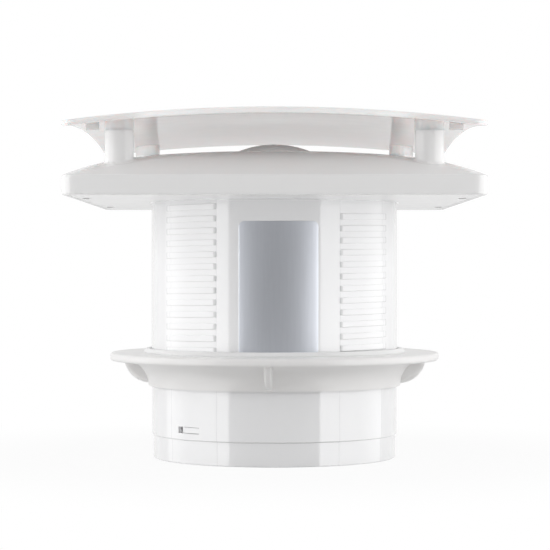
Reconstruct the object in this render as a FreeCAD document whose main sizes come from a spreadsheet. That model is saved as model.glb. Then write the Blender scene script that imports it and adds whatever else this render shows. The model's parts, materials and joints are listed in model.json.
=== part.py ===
import FreeCAD, Part
import math
import os
import Sketcher
from FreeCAD import Placement, Rotation, Vector

# Through-wall exhaust fan, standing on its outlet end.
# Origin: centre of the outlet's end face. +Z runs along the duct, from the outlet to the front panel.
# The rating label faces -Y. Millimetres and degrees.

doc = FreeCAD.newDocument("exhaust_fan")

SIZES = [
    # front cover, panel and back plate
    ("fascia_width", 151.0, "cover and panel, left to right"),
    ("fascia_depth", 196.0, "cover and panel, front to back"),
    ("fascia_corner", 5.0, "corner radius seen along the axis"),
    ("cover_wall", 2.0, "wall of the cover"),
    ("cover_round", 0.6, "rounding of the skirt's upper and lower edges"),
    ("skirt_height", 7.0, "upright band of the cover"),
    ("dome_rise", 11.5, "height that the dome would reach at its middle"),
    ("dome_level", 0.5, "half width of the dome's level middle"),
    ("dome_power", 3.65, "steepness of the dome at its edge"),
    ("wall_face", 101.0, "height of the back plate's wall face"),
    ("plate_thickness", 2.5, "back plate"),
    ("plate_gap", 0.3, "between back plate and skirt"),
    ("hook_edge", 5.5, "snap hooks, from the cover's left and right edges"),
    ("hook_end", 42.0, "snap hooks, from the cover's front and back edges"),
    ("hook_root", 1.5, "root of the snap hooks, above the skirt"),
    ("hook_length", 9.0, "snap hook, along its wall"),
    ("hook_thickness", 1.6, "snap hook"),
    ("hook_gap", 0.5, "hook in its slot"),
    ("panel_stand", 33.0, "middle of the panel's underside, above the wall face"),
    ("panel_thickness", 2.1, "front panel"),
    ("panel_sag_side", 4.9, "drop of the panel at its left and right edges"),
    ("panel_sag_front", 4.1, "drop of the panel at its front and back edges"),
    ("panel_round", 0.6, "rounding of the panel's rim"),
    ("trim_margin", 6.0, "stock outside the panel's outline before it is trimmed"),
    ("post_edge", 19.8, "posts, from the cover's left and right edges"),
    ("post_end", 15.0, "posts, from the cover's front and back edges"),
    ("post_radius", 5.2, "posts of the cover"),
    ("post_round", 1.0, "hollow rounding at the foot of the posts"),
    ("post_foot", 4.0, "start of the posts in the dome, above the skirt"),
    ("post_joint", 9.5, "joint between post and panel boss, below the panel's middle"),
    ("peg_radius", 2.4, "pegs of the panel"),
    ("peg_length", 7.0, "pegs of the panel"),
    ("peg_gap", 0.1, "peg in its post"),
    ("tab_edge", 9.0, "clip tabs under the panel, from its left and right edges"),
    ("tab_end", 28.0, "clip tabs under the panel, from its front and back edges"),
    ("tab_width", 5.0, "clip tab"),
    ("tab_thickness", 1.6, "clip tab"),
    ("tab_drop", 8.4, "lower ends of the tabs, below the panel's middle"),
    # duct tube
    ("tube_radius", 49.0, "outside of the tube"),
    ("tube_wall", 2.0, "wall of the tube"),
    ("tube_relief", 0.25, "the lower stretch is this much smaller in radius"),
    ("relief_length", 20.75, "lower stretch, above the seam"),
    ("relief_run", 3.0, "taper from the lower stretch to the full radius"),
    ("tube_rise", 7.0, "tube above the wall face, inside the cover"),
    ("flange_reach", 1.4, "flange that rests on the back plate, outside the tube's collar"),
    ("flange_thickness", 2.0, "flange that rests on the back plate"),
    # interrupted thread
    ("thread_pitch", 4.55, "rise in one turn"),
    ("thread_start", 2.3, "topmost bar at the label's right, below the wall face"),
    ("bar_width", 2.24, "bar, along the axis"),
    ("bar_height", 0.5, "bar, above the tube"),
    ("bar_span", 37.0, "angle that a bar covers"),
    ("sector_angle", 46.5, "middle of a sector, from the front or the back"),
    ("bar_count", 15, "bars in a sector"),
    ("root_depth", 0.5, "how far bars and lugs are rooted in their wall"),
    # rating label
    ("label_width", 30.0, "label"),
    ("label_height", 50.7, "label"),
    ("label_drop", 8.2, "upper edge of the label, below the wall face"),
    ("label_corner", 2.0, "label"),
    ("label_thickness", 0.1, "label"),
    ("label_glue", 0.05, "adhesive between label and tube"),
    # clamp ring and washer
    ("wall_room", 59.3, "between the wall face and the ring's upper face"),
    ("ring_thickness", 3.2, "rim of the clamp ring"),
    ("rim_reach", 8.0, "rim outside the neck"),
    ("rim_round", 0.8, "rounding of the rim"),
    ("neck_height", 9.9, "neck below the rim"),
    ("neck_lip", 0.5, "wall at the neck's lower end"),
    ("neck_flare", 7.3, "neck where it meets the rim, outside its lower end"),
    ("neck_curve", 10.4, "hollow curve of the neck"),
    ("gusset_step", 2.7, "outer end of a gusset, outside the neck"),
    ("gusset_rise", 0.7, "lower end of a gusset, above the neck's"),
    ("gusset_curve", 10.6, "outer curve of a gusset"),
    ("gusset_thickness", 2.5, "gusset"),
    ("gusset_round", 0.6, "rounding of a gusset's outer edges"),
    ("gusset_turn", -2.4, "gussets, turned from the axes"),
    ("gusset_count", 4, "gussets"),
    ("thread_gap", 0.2, "ring over the bars, and lugs over the tube"),
    ("lug_gap", 0.405, "thread lug inside the ring, to the bars above and below"),
    ("lug_span", 30.0, "angle that a thread lug covers"),
    ("washer_width", 2.3, "clamp washer, along the radius"),
    ("washer_thickness", 1.4, "clamp washer"),
    ("seat_gap", 0.3, "between bodies that lie on each other"),
    # outlet sleeve and its latch
    ("outlet_height", 9.25, "outlet ring below the seam"),
    ("outlet_step", 0.8, "outlet ring, inside the tube's outline"),
    ("sleeve_gap", 0.2, "sleeve in the tube"),
    ("sleeve_wall", 1.8, "wall of the sleeve"),
    ("slot_rise", 2.55, "lower edge of the latch slots, above the seam"),
    ("slot_height", 2.5, "latch slot"),
    ("slot_angle", 225.5, "middle of the first latch slot, from +X"),
    ("slot_span", 13.0, "angle that a latch slot covers"),
    ("latch_gap", 0.2, "latch lug in its slot"),
    ("latch_span", 9.0, "angle that a latch lug covers"),
    ("latch_end", 0.5, "angle from lug to slot end"),
    # backdraft valve
    ("valve_gap", 8.5, "hinge pin of the flaps, below the shaft's end"),
    ("pin_radius", 1.5, "hinge pin"),
    ("pin_gap", 0.05, "hinge pin in the flaps"),
    ("pin_seat_gap", 0.02, "hinge pin in the sleeve"),
    ("flap_gap", 1.0, "flaps to the sleeve"),
    ("flap_thickness", 1.0, "flaps"),
    ("knuckle_radius", 2.6, "hinge knuckles"),
    ("knuckle_gap", 0.4, "knuckle to the other flap's straight edge"),
    ("knuckle_step", 4.0, "between the two knuckles of a pair, along the pin"),
    ("knuckle_end", 6.0, "outer knuckle's end, inside the flap's edge"),
    ("inner_length", 12.0, "inner knuckle"),
    ("seat_lip", 1.5, "valve seat, along the axis"),
    ("seat_reach", 2.5, "valve seat, inwards from the sleeve"),
    ("spring_length", 10.0, "flap spring"),
    ("spring_gap", 0.55, "spring round the hinge pin"),
    ("spring_room", 3.0, "between the spring's end and the inner knuckle"),
    ("spring_wire", 0.5, "diameter of the spring's wire"),
    ("spring_turns", 7, "turns of the flap spring"),
    # motor carrier, which is the inlet guard too
    ("carrier_lip", 3.0, "part of the carrier inside the tube"),
    ("carrier_ring", 4.0, "part of the carrier above the tube's end"),
    ("carrier_wall", 1.6, "carrier ring and motor cup"),
    ("carrier_gap", 0.2, "carrier in the tube and in the cover"),
    ("cup_depth", 14.0, "motor cup below the shoulder that the motor meets"),
    ("cup_collar", 2.7, "straight part of the cup above the shoulder"),
    ("cup_rise", 9.7, "dome of the motor cup"),
    ("cup_gap", 0.3, "motor can in its cup"),
    ("cup_ledge", 2.0, "width of the shoulder"),
    ("rib_count", 6, "radial ribs of the inlet guard"),
    ("rib_thickness", 1.8, "radial ribs and rings of the guard"),
    ("rib_height", 2.0, "radial ribs and rings of the guard, along the axis"),
    ("rib_rise", 0.5, "ribs above the tube's end"),
    ("inlet_step", 3.0, "inlet opening of the cover, inside the tube's outline"),
    ("inlet_wall", 2.0, "collar of the inlet"),
    ("inlet_rise", 7.0, "rim of the inlet collar, above the carrier"),
    ("lead_notch", 6.4, "width of the notch for the leads"),
    # motor
    ("can_radius", 23.7, "motor can"),
    ("can_wall", 0.8, "motor can"),
    ("can_end", 1.5, "closed end of the motor can"),
    ("cap_thickness", 2.5, "motor end cap"),
    ("cap_boss", 8.0, "bearing boss of the end cap"),
    ("press_gap", 0.05, "between pieces that are pressed together"),
    ("stack_gap", 1.25, "between the stack and the rear bearing's boss"),
    ("stack_length", 14.0, "stator and rotor stack"),
    ("can_room", 8.0, "between the stack and the can's closed end"),
    ("air_gap", 0.5, "between rotor and stator"),
    ("rotor_radius", 13.0, "rotor core"),
    ("coil_length", 3.0, "end winding, along the axis"),
    ("coil_inset", 1.2, "end winding inside the stator's edges"),
    ("shaft_radius", 3.0, "motor shaft"),
    ("shaft_end", 1.0, "shaft beyond the impeller nut"),
    ("shaft_room", 3.0, "between the shaft and the top of the end cap"),
    ("bearing_radius", 5.5, "bearings"),
    ("bearing_length", 5.5, "bearings"),
    ("running_gap", 0.04, "shaft in its bearings"),
    ("screw_rise", 3.5, "motor screws, above the cup's open end"),
    ("screw_radius", 1.2, "motor screws"),
    ("screw_head", 2.2, "heads of the motor screws"),
    ("screw_head_height", 1.6, "heads of the motor screws"),
    # impeller
    ("hub_radius", 22.0, "impeller hub"),
    ("hub_gap", 4.0, "between the hub and the motor can"),
    ("hub_length", 18.0, "impeller hub"),
    ("hub_wall", 2.0, "impeller hub"),
    ("hub_floor", 3.0, "closed end of the hub"),
    ("boss_radius", 6.5, "shaft boss of the hub"),
    ("boss_length", 14.0, "shaft boss of the hub"),
    ("tip_gap", 1.6, "blade tips to the tube"),
    ("blade_count", 7, "impeller blades"),
    ("blade_thickness", 1.6, "impeller blades"),
    ("root_half_chord", 10.0, "half a blade's chord at the hub"),
    ("tip_half_chord", 13.0, "half a blade's chord at the tip"),
    ("root_pitch", 46.0, "angle of a blade at the hub"),
    ("tip_pitch", 28.0, "angle of a blade at the tip"),
    ("blade_camber", 1.6, "bow of a blade"),
    ("nut_radius", 5.0, "impeller nut, over its corners"),
    ("nut_height", 3.0, "impeller nut"),
    # wiring
    ("block_width", 22.0, "terminal block, left to right"),
    ("block_depth", 12.0, "terminal block, front to back"),
    ("block_cover", 0.8, "terminal block above the leads"),
    ("block_gap", 0.5, "between the terminal block and the tube's flange"),
    ("terminal_pitch", 10.0, "between the terminal screws"),
    ("terminal_radius", 1.7, "terminal screws"),
    ("terminal_depth", 5.0, "terminal screw holes"),
    ("terminal_sink", 1.0, "screws below the block's top"),
    ("terminal_gap", 0.1, "screw in its hole"),
    ("lead_radius", 0.8, "leads"),
    ("lead_x", 1.3, "leads, from the middle"),
    ("lead_gap", 0.1, "lead to the rib, block and cup"),
    ("grommet_x", 28.0, "cable grommet, right of the middle"),
    ("grommet_end", 30.0, "cable grommet, from the cover's back edge"),
    ("grommet_radius", 4.5, "grommet's hole in the back plate"),
    ("grommet_flange", 7.0, "grommet's flange inside the cover"),
    ("grommet_lip", 1.5, "thickness of the flange"),
    ("cable_radius", 3.2, "cable hole"),
    ("grommet_gap", 0.1, "grommet in the back plate"),
]


class Size:
    """A number together with the sheet formula that gives it."""

    def __init__(self, value, formula):
        self.value = float(value)
        self.formula = formula

    def __add__(self, other):
        return Size(self.value + number(other), "(%s + %s)" % (self.formula, formula_of(other)))

    def __sub__(self, other):
        return Size(self.value - number(other), "(%s - %s)" % (self.formula, formula_of(other)))

    def __mul__(self, other):
        return Size(self.value * number(other), "(%s * %s)" % (self.formula, formula_of(other)))

    def __truediv__(self, other):
        return Size(self.value / number(other), "(%s / %s)" % (self.formula, formula_of(other)))

    def __pow__(self, other):
        return Size(self.value ** number(other), "(%s ^ %s)" % (self.formula, formula_of(other)))

    def __neg__(self):
        return Size(-self.value, "(0 - %s)" % self.formula)

    def __radd__(self, other):
        return self + other

    def __rsub__(self, other):
        return -self + other

    def __rmul__(self, other):
        return self * other


def number(amount):
    return amount.value if isinstance(amount, Size) else float(amount)


def formula_of(amount):
    return amount.formula if isinstance(amount, Size) else repr(float(amount))


def root(amount):
    return Size(math.sqrt(amount.value), "sqrt(%s)" % amount.formula)


class SizeSheet:
    """The spreadsheet, with one attribute for each named size."""

    def __init__(self, rows):
        sheet = doc.addObject("Spreadsheet::Sheet", "Sizes")
        for line, (alias, value, note) in enumerate(rows, start=1):
            sheet.set("A%d" % line, note)
            sheet.set("B%d" % line, str(value))
            sheet.setAlias("B%d" % line, alias)
            setattr(self, alias, Size(value, "Sizes." + alias))


S = SizeSheet(SIZES)
doc.recompute()


def bind(thing, name, amount):
    if isinstance(amount, Size):
        thing.setExpression(name, amount.formula)
    else:
        setattr(thing, name, amount)


def new_body(label):
    body = doc.addObject("PartDesign::Body", label)
    body.Label = label
    return body


def origin_feature(body, role):
    return [feature for feature in body.Origin.OriginFeatures if feature.Role == role][0]


def new_sketch(body, name, plane, offset=0.0):
    """A sketch on one of the body's origin planes, moved along the plane's normal by offset."""
    sketch = body.newObject("Sketcher::SketchObject", name)
    sketch.AttachmentSupport = [(origin_feature(body, plane), "")]
    sketch.MapMode = "FlatFace"
    sketch.AttachmentOffset = Placement(Vector(0, 0, number(offset)), Rotation())
    if isinstance(offset, Size):
        sketch.setExpression(".AttachmentOffset.Base.z", offset.formula)
    return sketch


def add_dimension(sketch, constraint, amount):
    index = sketch.addConstraint(constraint)
    if isinstance(amount, Size):
        sketch.setExpression("Constraints[%d]" % index, amount.formula)


def fix_point(sketch, geometry, point, x, y):
    add_dimension(sketch, Sketcher.Constraint("DistanceX", -1, 1, geometry, point, number(x)), x)
    add_dimension(sketch, Sketcher.Constraint("DistanceY", -1, 1, geometry, point, number(y)), y)


def arc_between(start, stop, radius):
    """The shorter arc from start to stop: a positive radius turns left, a negative one right."""
    chord = stop - start
    rise = math.sqrt(max(0.0, radius ** 2 - chord.Length ** 2 / 4))
    side = Vector(-chord.y, chord.x, 0).normalize()
    centre = (start + stop) / 2 + side * math.copysign(rise, radius)
    first, last = (start, stop) if radius > 0 else (stop, start)
    low = math.atan2(first.y - centre.y, first.x - centre.x)
    high = math.atan2(last.y - centre.y, last.x - centre.x)
    if high < low:
        high += 2 * math.pi
    return Part.ArcOfCircle(Part.Circle(centre, Vector(0, 0, 1), abs(radius)), low, high)


def add_outline(sketch, corners):
    """A closed outline. A corner is (x, y), or (x, y, radius) where an arc leads on to the next corner."""
    points = [Vector(number(corner[0]), number(corner[1]), 0) for corner in corners]
    ends = []
    for index, corner in enumerate(corners):
        start = points[index]
        stop = points[(index + 1) % len(corners)]
        if len(corner) == 2:
            ends.append((sketch.addGeometry(Part.LineSegment(start, stop), False), 1, 2))
            continue
        radius = corner[2]
        geometry = sketch.addGeometry(arc_between(start, stop, number(radius)), False)
        ends.append((geometry, 1, 2) if number(radius) > 0 else (geometry, 2, 1))
        length = radius if number(radius) > 0 else -radius
        add_dimension(sketch, Sketcher.Constraint("Radius", geometry, number(length)), length)
    for index, corner in enumerate(corners):
        geometry, first, last = ends[index]
        before, _, before_last = ends[index - 1]
        sketch.addConstraint(Sketcher.Constraint("Coincident", before, before_last, geometry, first))
        fix_point(sketch, geometry, first, corner[0], corner[1])


def add_circle(sketch, x, y, radius):
    circle = Part.Circle(Vector(number(x), number(y), 0), Vector(0, 0, 1), number(radius))
    geometry = sketch.addGeometry(circle, False)
    add_dimension(sketch, Sketcher.Constraint("Radius", geometry, number(radius)), radius)
    fix_point(sketch, geometry, 3, x, y)


def add_rectangle(sketch, left, low, right, high):
    add_outline(sketch, [(left, low), (right, low), (right, high), (left, high)])


def add_round_rectangle(sketch, width, depth, corner, middle_y=0.0):
    """A rectangle about the Y axis, with rounded corners."""
    right = width / 2
    inner = right - corner
    high = depth / 2 + middle_y
    low = middle_y - depth / 2
    add_outline(sketch, [
        (-inner, low), (inner, low, corner),
        (right, low + corner), (right, high - corner, corner),
        (inner, high), (-inner, high, corner),
        (-right, high - corner), (-right, low + corner, corner)])


def revolve(body, sketch, name):
    feature = body.newObject("PartDesign::Revolution", name)
    feature.Profile = sketch
    feature.ReferenceAxis = (sketch, ["V_Axis"])
    feature.Angle = 360
    return feature


def pad(body, sketch, name, length, symmetric=False):
    feature = body.newObject("PartDesign::Pad", name)
    feature.Profile = sketch
    feature.SideType = "Symmetric" if symmetric else "One side"
    bind(feature, "Length", length)
    return feature


def pocket(body, sketch, name, depth=None, upward=False):
    """A cut against the sketch's normal, along it if upward, or through everything if depth is None."""
    feature = body.newObject("PartDesign::Pocket", name)
    feature.Profile = sketch
    if depth is None:
        feature.SideType = "Symmetric"
        feature.Type = "ThroughAll"
    else:
        feature.Reversed = upward
        bind(feature, "Length", depth)
    return feature


NEAR = 0.01


def round_edges(body, feature, name, radius, picked):
    """Rounds the edges of a feature whose middle point passes a test."""
    doc.recompute()
    names = []
    for index, edge in enumerate(feature.Shape.Edges):
        middle = edge.valueAt((edge.FirstParameter + edge.LastParameter) / 2)
        if picked(middle):
            names.append("Edge%d" % (index + 1))
    rounding = body.newObject("PartDesign::Fillet", name)
    rounding.Base = (feature, names)
    bind(rounding, "Radius", radius)
    return rounding


def on_level(point, levels):
    return any(abs(point.z - level) < NEAR for level in levels)


def polar_pattern(body, original, name, count):
    feature = body.newObject("PartDesign::PolarPattern", name)
    feature.Originals = [original]
    feature.Axis = (origin_feature(body, "Z_Axis"), [""])
    feature.Angle = 360
    bind(feature, "Occurrences", count)
    body.Tip = feature
    return feature


def four_ways(x, y):
    return [(x, y), (-x, y), (-x, -y), (x, -y)]


def round_solid(label, outlines):
    """A body turned about the Z axis from one or more closed outlines of (radius, height) corners."""
    body = new_body(label)
    sketch = new_sketch(body, label + "_profile", "XZ_Plane")
    for outline in outlines:
        add_outline(sketch, outline)
    revolve(body, sketch, label + "_turned")
    return body


def ring_outline(inner, outer, low, high):
    return [(inner, low), (outer, low), (outer, high), (inner, high)]


def ring_sector(inner, outer, width, span, angle, height, tilt=0.0):
    """A bar bent round the Z axis, span degrees long about angle, tilted as a thread is."""
    low, high = -width / 2, width / 2
    corners = [Vector(inner, 0, low), Vector(outer, 0, low), Vector(outer, 0, high), Vector(inner, 0, high)]
    face = Part.Face(Part.makePolygon(corners + corners[:1]))
    bar = face.revolve(Vector(0, 0, 0), Vector(0, 0, 1), span)
    bar.rotate(Vector(0, 0, 0), Vector(0, 0, 1), -span / 2)
    bar.rotate(Vector(0, 0, 0), Vector(1, 0, 0), tilt)
    bar.rotate(Vector(0, 0, 0), Vector(0, 0, 1), angle)
    bar.translate(Vector(0, 0, height))
    return bar


def shape_feature(label, shape):
    feature = doc.addObject("Part::Feature", label)
    feature.Shape = shape
    feature.Label = label
    return feature


def combine(kind, label, base, tool):
    feature = doc.addObject("Part::" + kind, label)
    feature.Base = base
    feature.Tool = tool
    feature.Refine = True
    feature.Label = label
    return feature


# Radii that several pieces share
tube_bore = S.tube_radius - S.tube_wall
thread_crest = S.tube_radius + S.bar_height
ring_bore = thread_crest + S.thread_gap
lug_bore = S.tube_radius + S.label_glue + S.label_thickness + S.thread_gap / 2
collar_radius = ring_bore
flange_radius = collar_radius + S.flange_reach
sleeve_radius = tube_bore - S.sleeve_gap
sleeve_bore = sleeve_radius - S.sleeve_wall
flap_radius = sleeve_bore - S.flap_gap
flap_root = S.knuckle_radius + S.knuckle_gap
inlet_radius = S.tube_radius - S.inlet_step
can_bore = S.can_radius - S.can_wall
cup_bore = S.can_radius + S.cup_gap
cup_radius = cup_bore + S.carrier_wall
carrier_bore = tube_bore - S.carrier_gap - S.carrier_wall
tip_radius = tube_bore - S.tip_gap

# Heights that several pieces share, from the wall face up
plate_top = S.wall_face + S.plate_thickness
skirt_top = S.wall_face + S.skirt_height
tube_top = S.wall_face + S.tube_rise
carrier_top = tube_top + S.carrier_ring
inlet_top = carrier_top + S.inlet_rise
panel_underside = S.wall_face + S.panel_stand
post_root = skirt_top + S.post_foot
post_top = panel_underside - S.post_joint
rib_low = tube_top + S.rib_rise
rib_top = rib_low + S.rib_height
lead_height = rib_top + S.lead_gap + S.lead_radius
block_top = lead_height + S.lead_radius + S.block_cover

# Heights that several pieces share, from the motor's shoulder down
cup_shoulder = carrier_top
cup_low = cup_shoulder - S.cup_depth
screw_height = cup_low + S.screw_rise
rear_bearing_low = cup_shoulder - S.cap_thickness / 2 - S.bearing_length
stack_top = rear_bearing_low - S.stack_gap
stator_low = stack_top - S.stack_length
can_low = stator_low - S.can_room
front_bearing_low = can_low + S.can_end - S.bearing_length / 2
hub_top = can_low - S.hub_gap
hub_low = hub_top - S.hub_length
shaft_low = hub_low - S.nut_height - S.shaft_end
pin_height = shaft_low - S.valve_gap
ring_top = S.wall_face - S.wall_room
ring_low = ring_top - S.ring_thickness
label_low = S.wall_face - S.label_drop - S.label_height
slot_middle = S.outlet_height + S.slot_rise + S.slot_height / 2

# Places that several pieces share, seen along the axis
dome_run = S.fascia_width / 2 - S.dome_level
hook_x = S.fascia_width / 2 - S.hook_edge
hook_y = S.fascia_depth / 2 - S.hook_end
post_x = S.fascia_width / 2 - S.post_edge
post_y = S.fascia_depth / 2 - S.post_end
tab_x = S.fascia_width / 2 - S.tab_edge
tab_y = S.fascia_depth / 2 - S.tab_end
grommet_y = S.fascia_depth / 2 - S.grommet_end
block_start = flange_radius + S.block_gap
block_y = block_start + S.block_depth / 2

THREAD_SECTORS = [270 - S.sector_angle.value, 270 + S.sector_angle.value,
                  90 - S.sector_angle.value, 90 + S.sector_angle.value]
THREAD_START = THREAD_SECTORS[1]
THREAD_TILT = math.degrees(math.atan2(S.thread_pitch.value, 2 * math.pi * S.tube_radius.value))


def thread_height(angle):
    """Height of the topmost turn of the right-hand thread at an angle about the axis."""
    turn = (angle - THREAD_START) / 360
    highest = S.wall_face.value - S.thread_start.value
    return highest + S.thread_pitch.value * (turn - math.ceil(turn))


def make_duct_housing():
    """Tube with a flange that rests on the back plate, latch slots and four sectors of thread bars."""
    body = new_body("duct_tube")
    profile = new_sketch(body, "tube_profile", "XZ_Plane")
    lower_radius = S.tube_radius - S.tube_relief
    relief_top = S.outlet_height + S.relief_length
    flange_top = plate_top + S.flange_thickness
    add_outline(profile, [
        (tube_bore, S.outlet_height), (lower_radius, S.outlet_height),
        (lower_radius, relief_top), (S.tube_radius, relief_top + S.relief_run),
        (S.tube_radius, S.wall_face), (collar_radius, S.wall_face),
        (collar_radius, plate_top), (flange_radius, plate_top),
        (flange_radius, flange_top), (S.tube_radius, flange_top),
        (S.tube_radius, tube_top), (tube_bore, tube_top)])
    revolve(body, profile, "tube_turned")

    latch = []
    inner = tube_bore.value - S.root_depth.value
    outer = S.tube_radius.value + S.root_depth.value
    width = S.slot_height.value
    for angle in (S.slot_angle.value, S.slot_angle.value + 180):
        latch.append(ring_sector(inner, outer, width, S.slot_span.value, angle, slot_middle.value))
    slotted = combine("Cut", "slotted_tube", body, shape_feature("latch_slots", Part.makeCompound(latch)))

    bars = []
    for angle in THREAD_SECTORS:
        for turn in range(int(S.bar_count.value)):
            height = thread_height(angle) - turn * S.thread_pitch.value
            bars.append(ring_sector(S.tube_radius.value - S.root_depth.value, thread_crest.value,
                                    S.bar_width.value, S.bar_span.value, angle, height, THREAD_TILT))
    return combine("Fuse", "duct_housing", slotted, shape_feature("thread_bars", Part.makeCompound(bars)))


def make_back_plate():
    """Flat plate against the wall, with holes for the tube and the cable and slots for the cover's hooks."""
    body = new_body("back_plate")
    outline = new_sketch(body, "plate_outline", "XY_Plane", S.wall_face)
    edge = S.cover_wall + S.plate_gap
    add_round_rectangle(outline, S.fascia_width - edge * 2, S.fascia_depth - edge * 2, S.fascia_corner - edge)
    add_circle(outline, 0, 0, collar_radius + S.press_gap)
    half_x = S.hook_thickness / 2 + S.hook_gap
    half_y = S.hook_length / 2 + S.hook_gap
    for x, y in four_ways(hook_x, hook_y):
        add_rectangle(outline, x - half_x, y - half_y, x + half_x, y + half_y)
    add_circle(outline, S.grommet_x, grommet_y, S.grommet_radius)
    pad(body, outline, "plate", S.plate_thickness)
    return body


def dome_section(body, name, share, inward=0.0, down=0.0):
    """A level section of the dome. share is its inset as a part of the dome's run."""
    inset = dome_run * share
    rise = S.dome_rise * (1 - (1 - Size(share, repr(share))) ** S.dome_power)
    sketch = new_sketch(body, name, "XY_Plane", skirt_top + rise - down)
    taken = (inset + inward) * 2
    add_round_rectangle(sketch, S.fascia_width - taken, S.fascia_depth - taken,
                        S.fascia_corner + inset - inward)
    return sketch


def loft(body, kind, name, sections):
    feature = body.newObject("PartDesign::" + kind, name)
    feature.Profile = sections[0]
    feature.Sections = [(section, [""]) for section in sections[1:]]
    feature.Ruled = False
    return feature


def on_post_foot(point):
    """True where a post meets the dome's outside."""
    away = math.hypot(abs(point.x) - post_x.value, abs(point.y) - post_y.value)
    outside = post_root.value + S.cover_wall.value / 2 < point.z < post_top.value - NEAR
    return outside and abs(away - S.post_radius.value) < NEAR


def make_front_cover():
    """Domed shell with an upright skirt, an inlet collar, four hollow posts and four snap hooks."""
    body = new_body("front_cover")
    skirt = new_sketch(body, "skirt_outline", "XY_Plane", S.wall_face)
    add_round_rectangle(skirt, S.fascia_width, S.fascia_depth, S.fascia_corner)
    pad(body, skirt, "skirt", S.skirt_height)

    shares = [0.0, 0.03, 0.085, 0.18, 0.3, 0.46]
    outer = [dome_section(body, "dome_%d" % index, share) for index, share in enumerate(shares)]
    dome = loft(body, "AdditiveLoft", "dome", outer)
    levels = (S.wall_face.value, skirt_top.value)
    round_edges(body, dome, "skirt_rounded", S.cover_round, lambda middle: on_level(middle, levels))

    hollow = new_sketch(body, "skirt_inside", "XY_Plane", S.wall_face)
    edge = S.cover_wall * 2
    add_round_rectangle(hollow, S.fascia_width - edge, S.fascia_depth - edge, S.fascia_corner - S.cover_wall)
    pocket(body, hollow, "skirt_hollow", S.skirt_height, upward=True)
    inner = []
    for index, share in enumerate(shares):
        done = index / (len(shares) - 1)
        inner.append(dome_section(body, "hollow_%d" % index, share,
                                  S.cover_wall * (1 - done / 2), S.cover_wall * done))
    loft(body, "SubtractiveLoft", "dome_hollow", inner)

    posts = new_sketch(body, "post_circles", "XY_Plane", post_root)
    for x, y in four_ways(post_x, post_y):
        add_circle(posts, x, y, S.post_radius)
    standing = pad(body, posts, "posts", post_top - post_root)
    round_edges(body, standing, "post_feet", S.post_round, on_post_foot)

    collar = new_sketch(body, "collar_circles", "XY_Plane", carrier_top + S.carrier_gap)
    add_circle(collar, 0, 0, inlet_radius + S.inlet_wall)
    pad(body, collar, "collar", inlet_top - carrier_top - S.carrier_gap)
    inlet = new_sketch(body, "inlet_circle", "XY_Plane", S.wall_face)
    add_circle(inlet, 0, 0, inlet_radius)
    pocket(body, inlet, "inlet", inlet_top - S.wall_face, upward=True)

    bores = new_sketch(body, "post_bores", "XY_Plane", post_top)
    for x, y in four_ways(post_x, post_y):
        add_circle(bores, x, y, S.peg_radius + S.peg_gap)
    pocket(body, bores, "post_bores_cut", S.peg_length + S.seat_gap)

    hooks = new_sketch(body, "hook_outlines", "XY_Plane", S.wall_face + S.seat_gap)
    half_x = S.hook_thickness / 2
    half_y = S.hook_length / 2
    for x, y in four_ways(hook_x, hook_y):
        add_rectangle(hooks, x - half_x, y - half_y, x + half_x, y + half_y)
    pad(body, hooks, "hooks", S.skirt_height - S.seat_gap + S.hook_root)
    return body


def panel_drop(x, y):
    """How far the panel has curved down at a place, seen along the axis."""
    side = S.panel_sag_side * (x * 2 / S.fascia_width) ** 2
    front = S.panel_sag_front * (y * 2 / S.fascia_depth) ** 2
    return side + front


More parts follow.
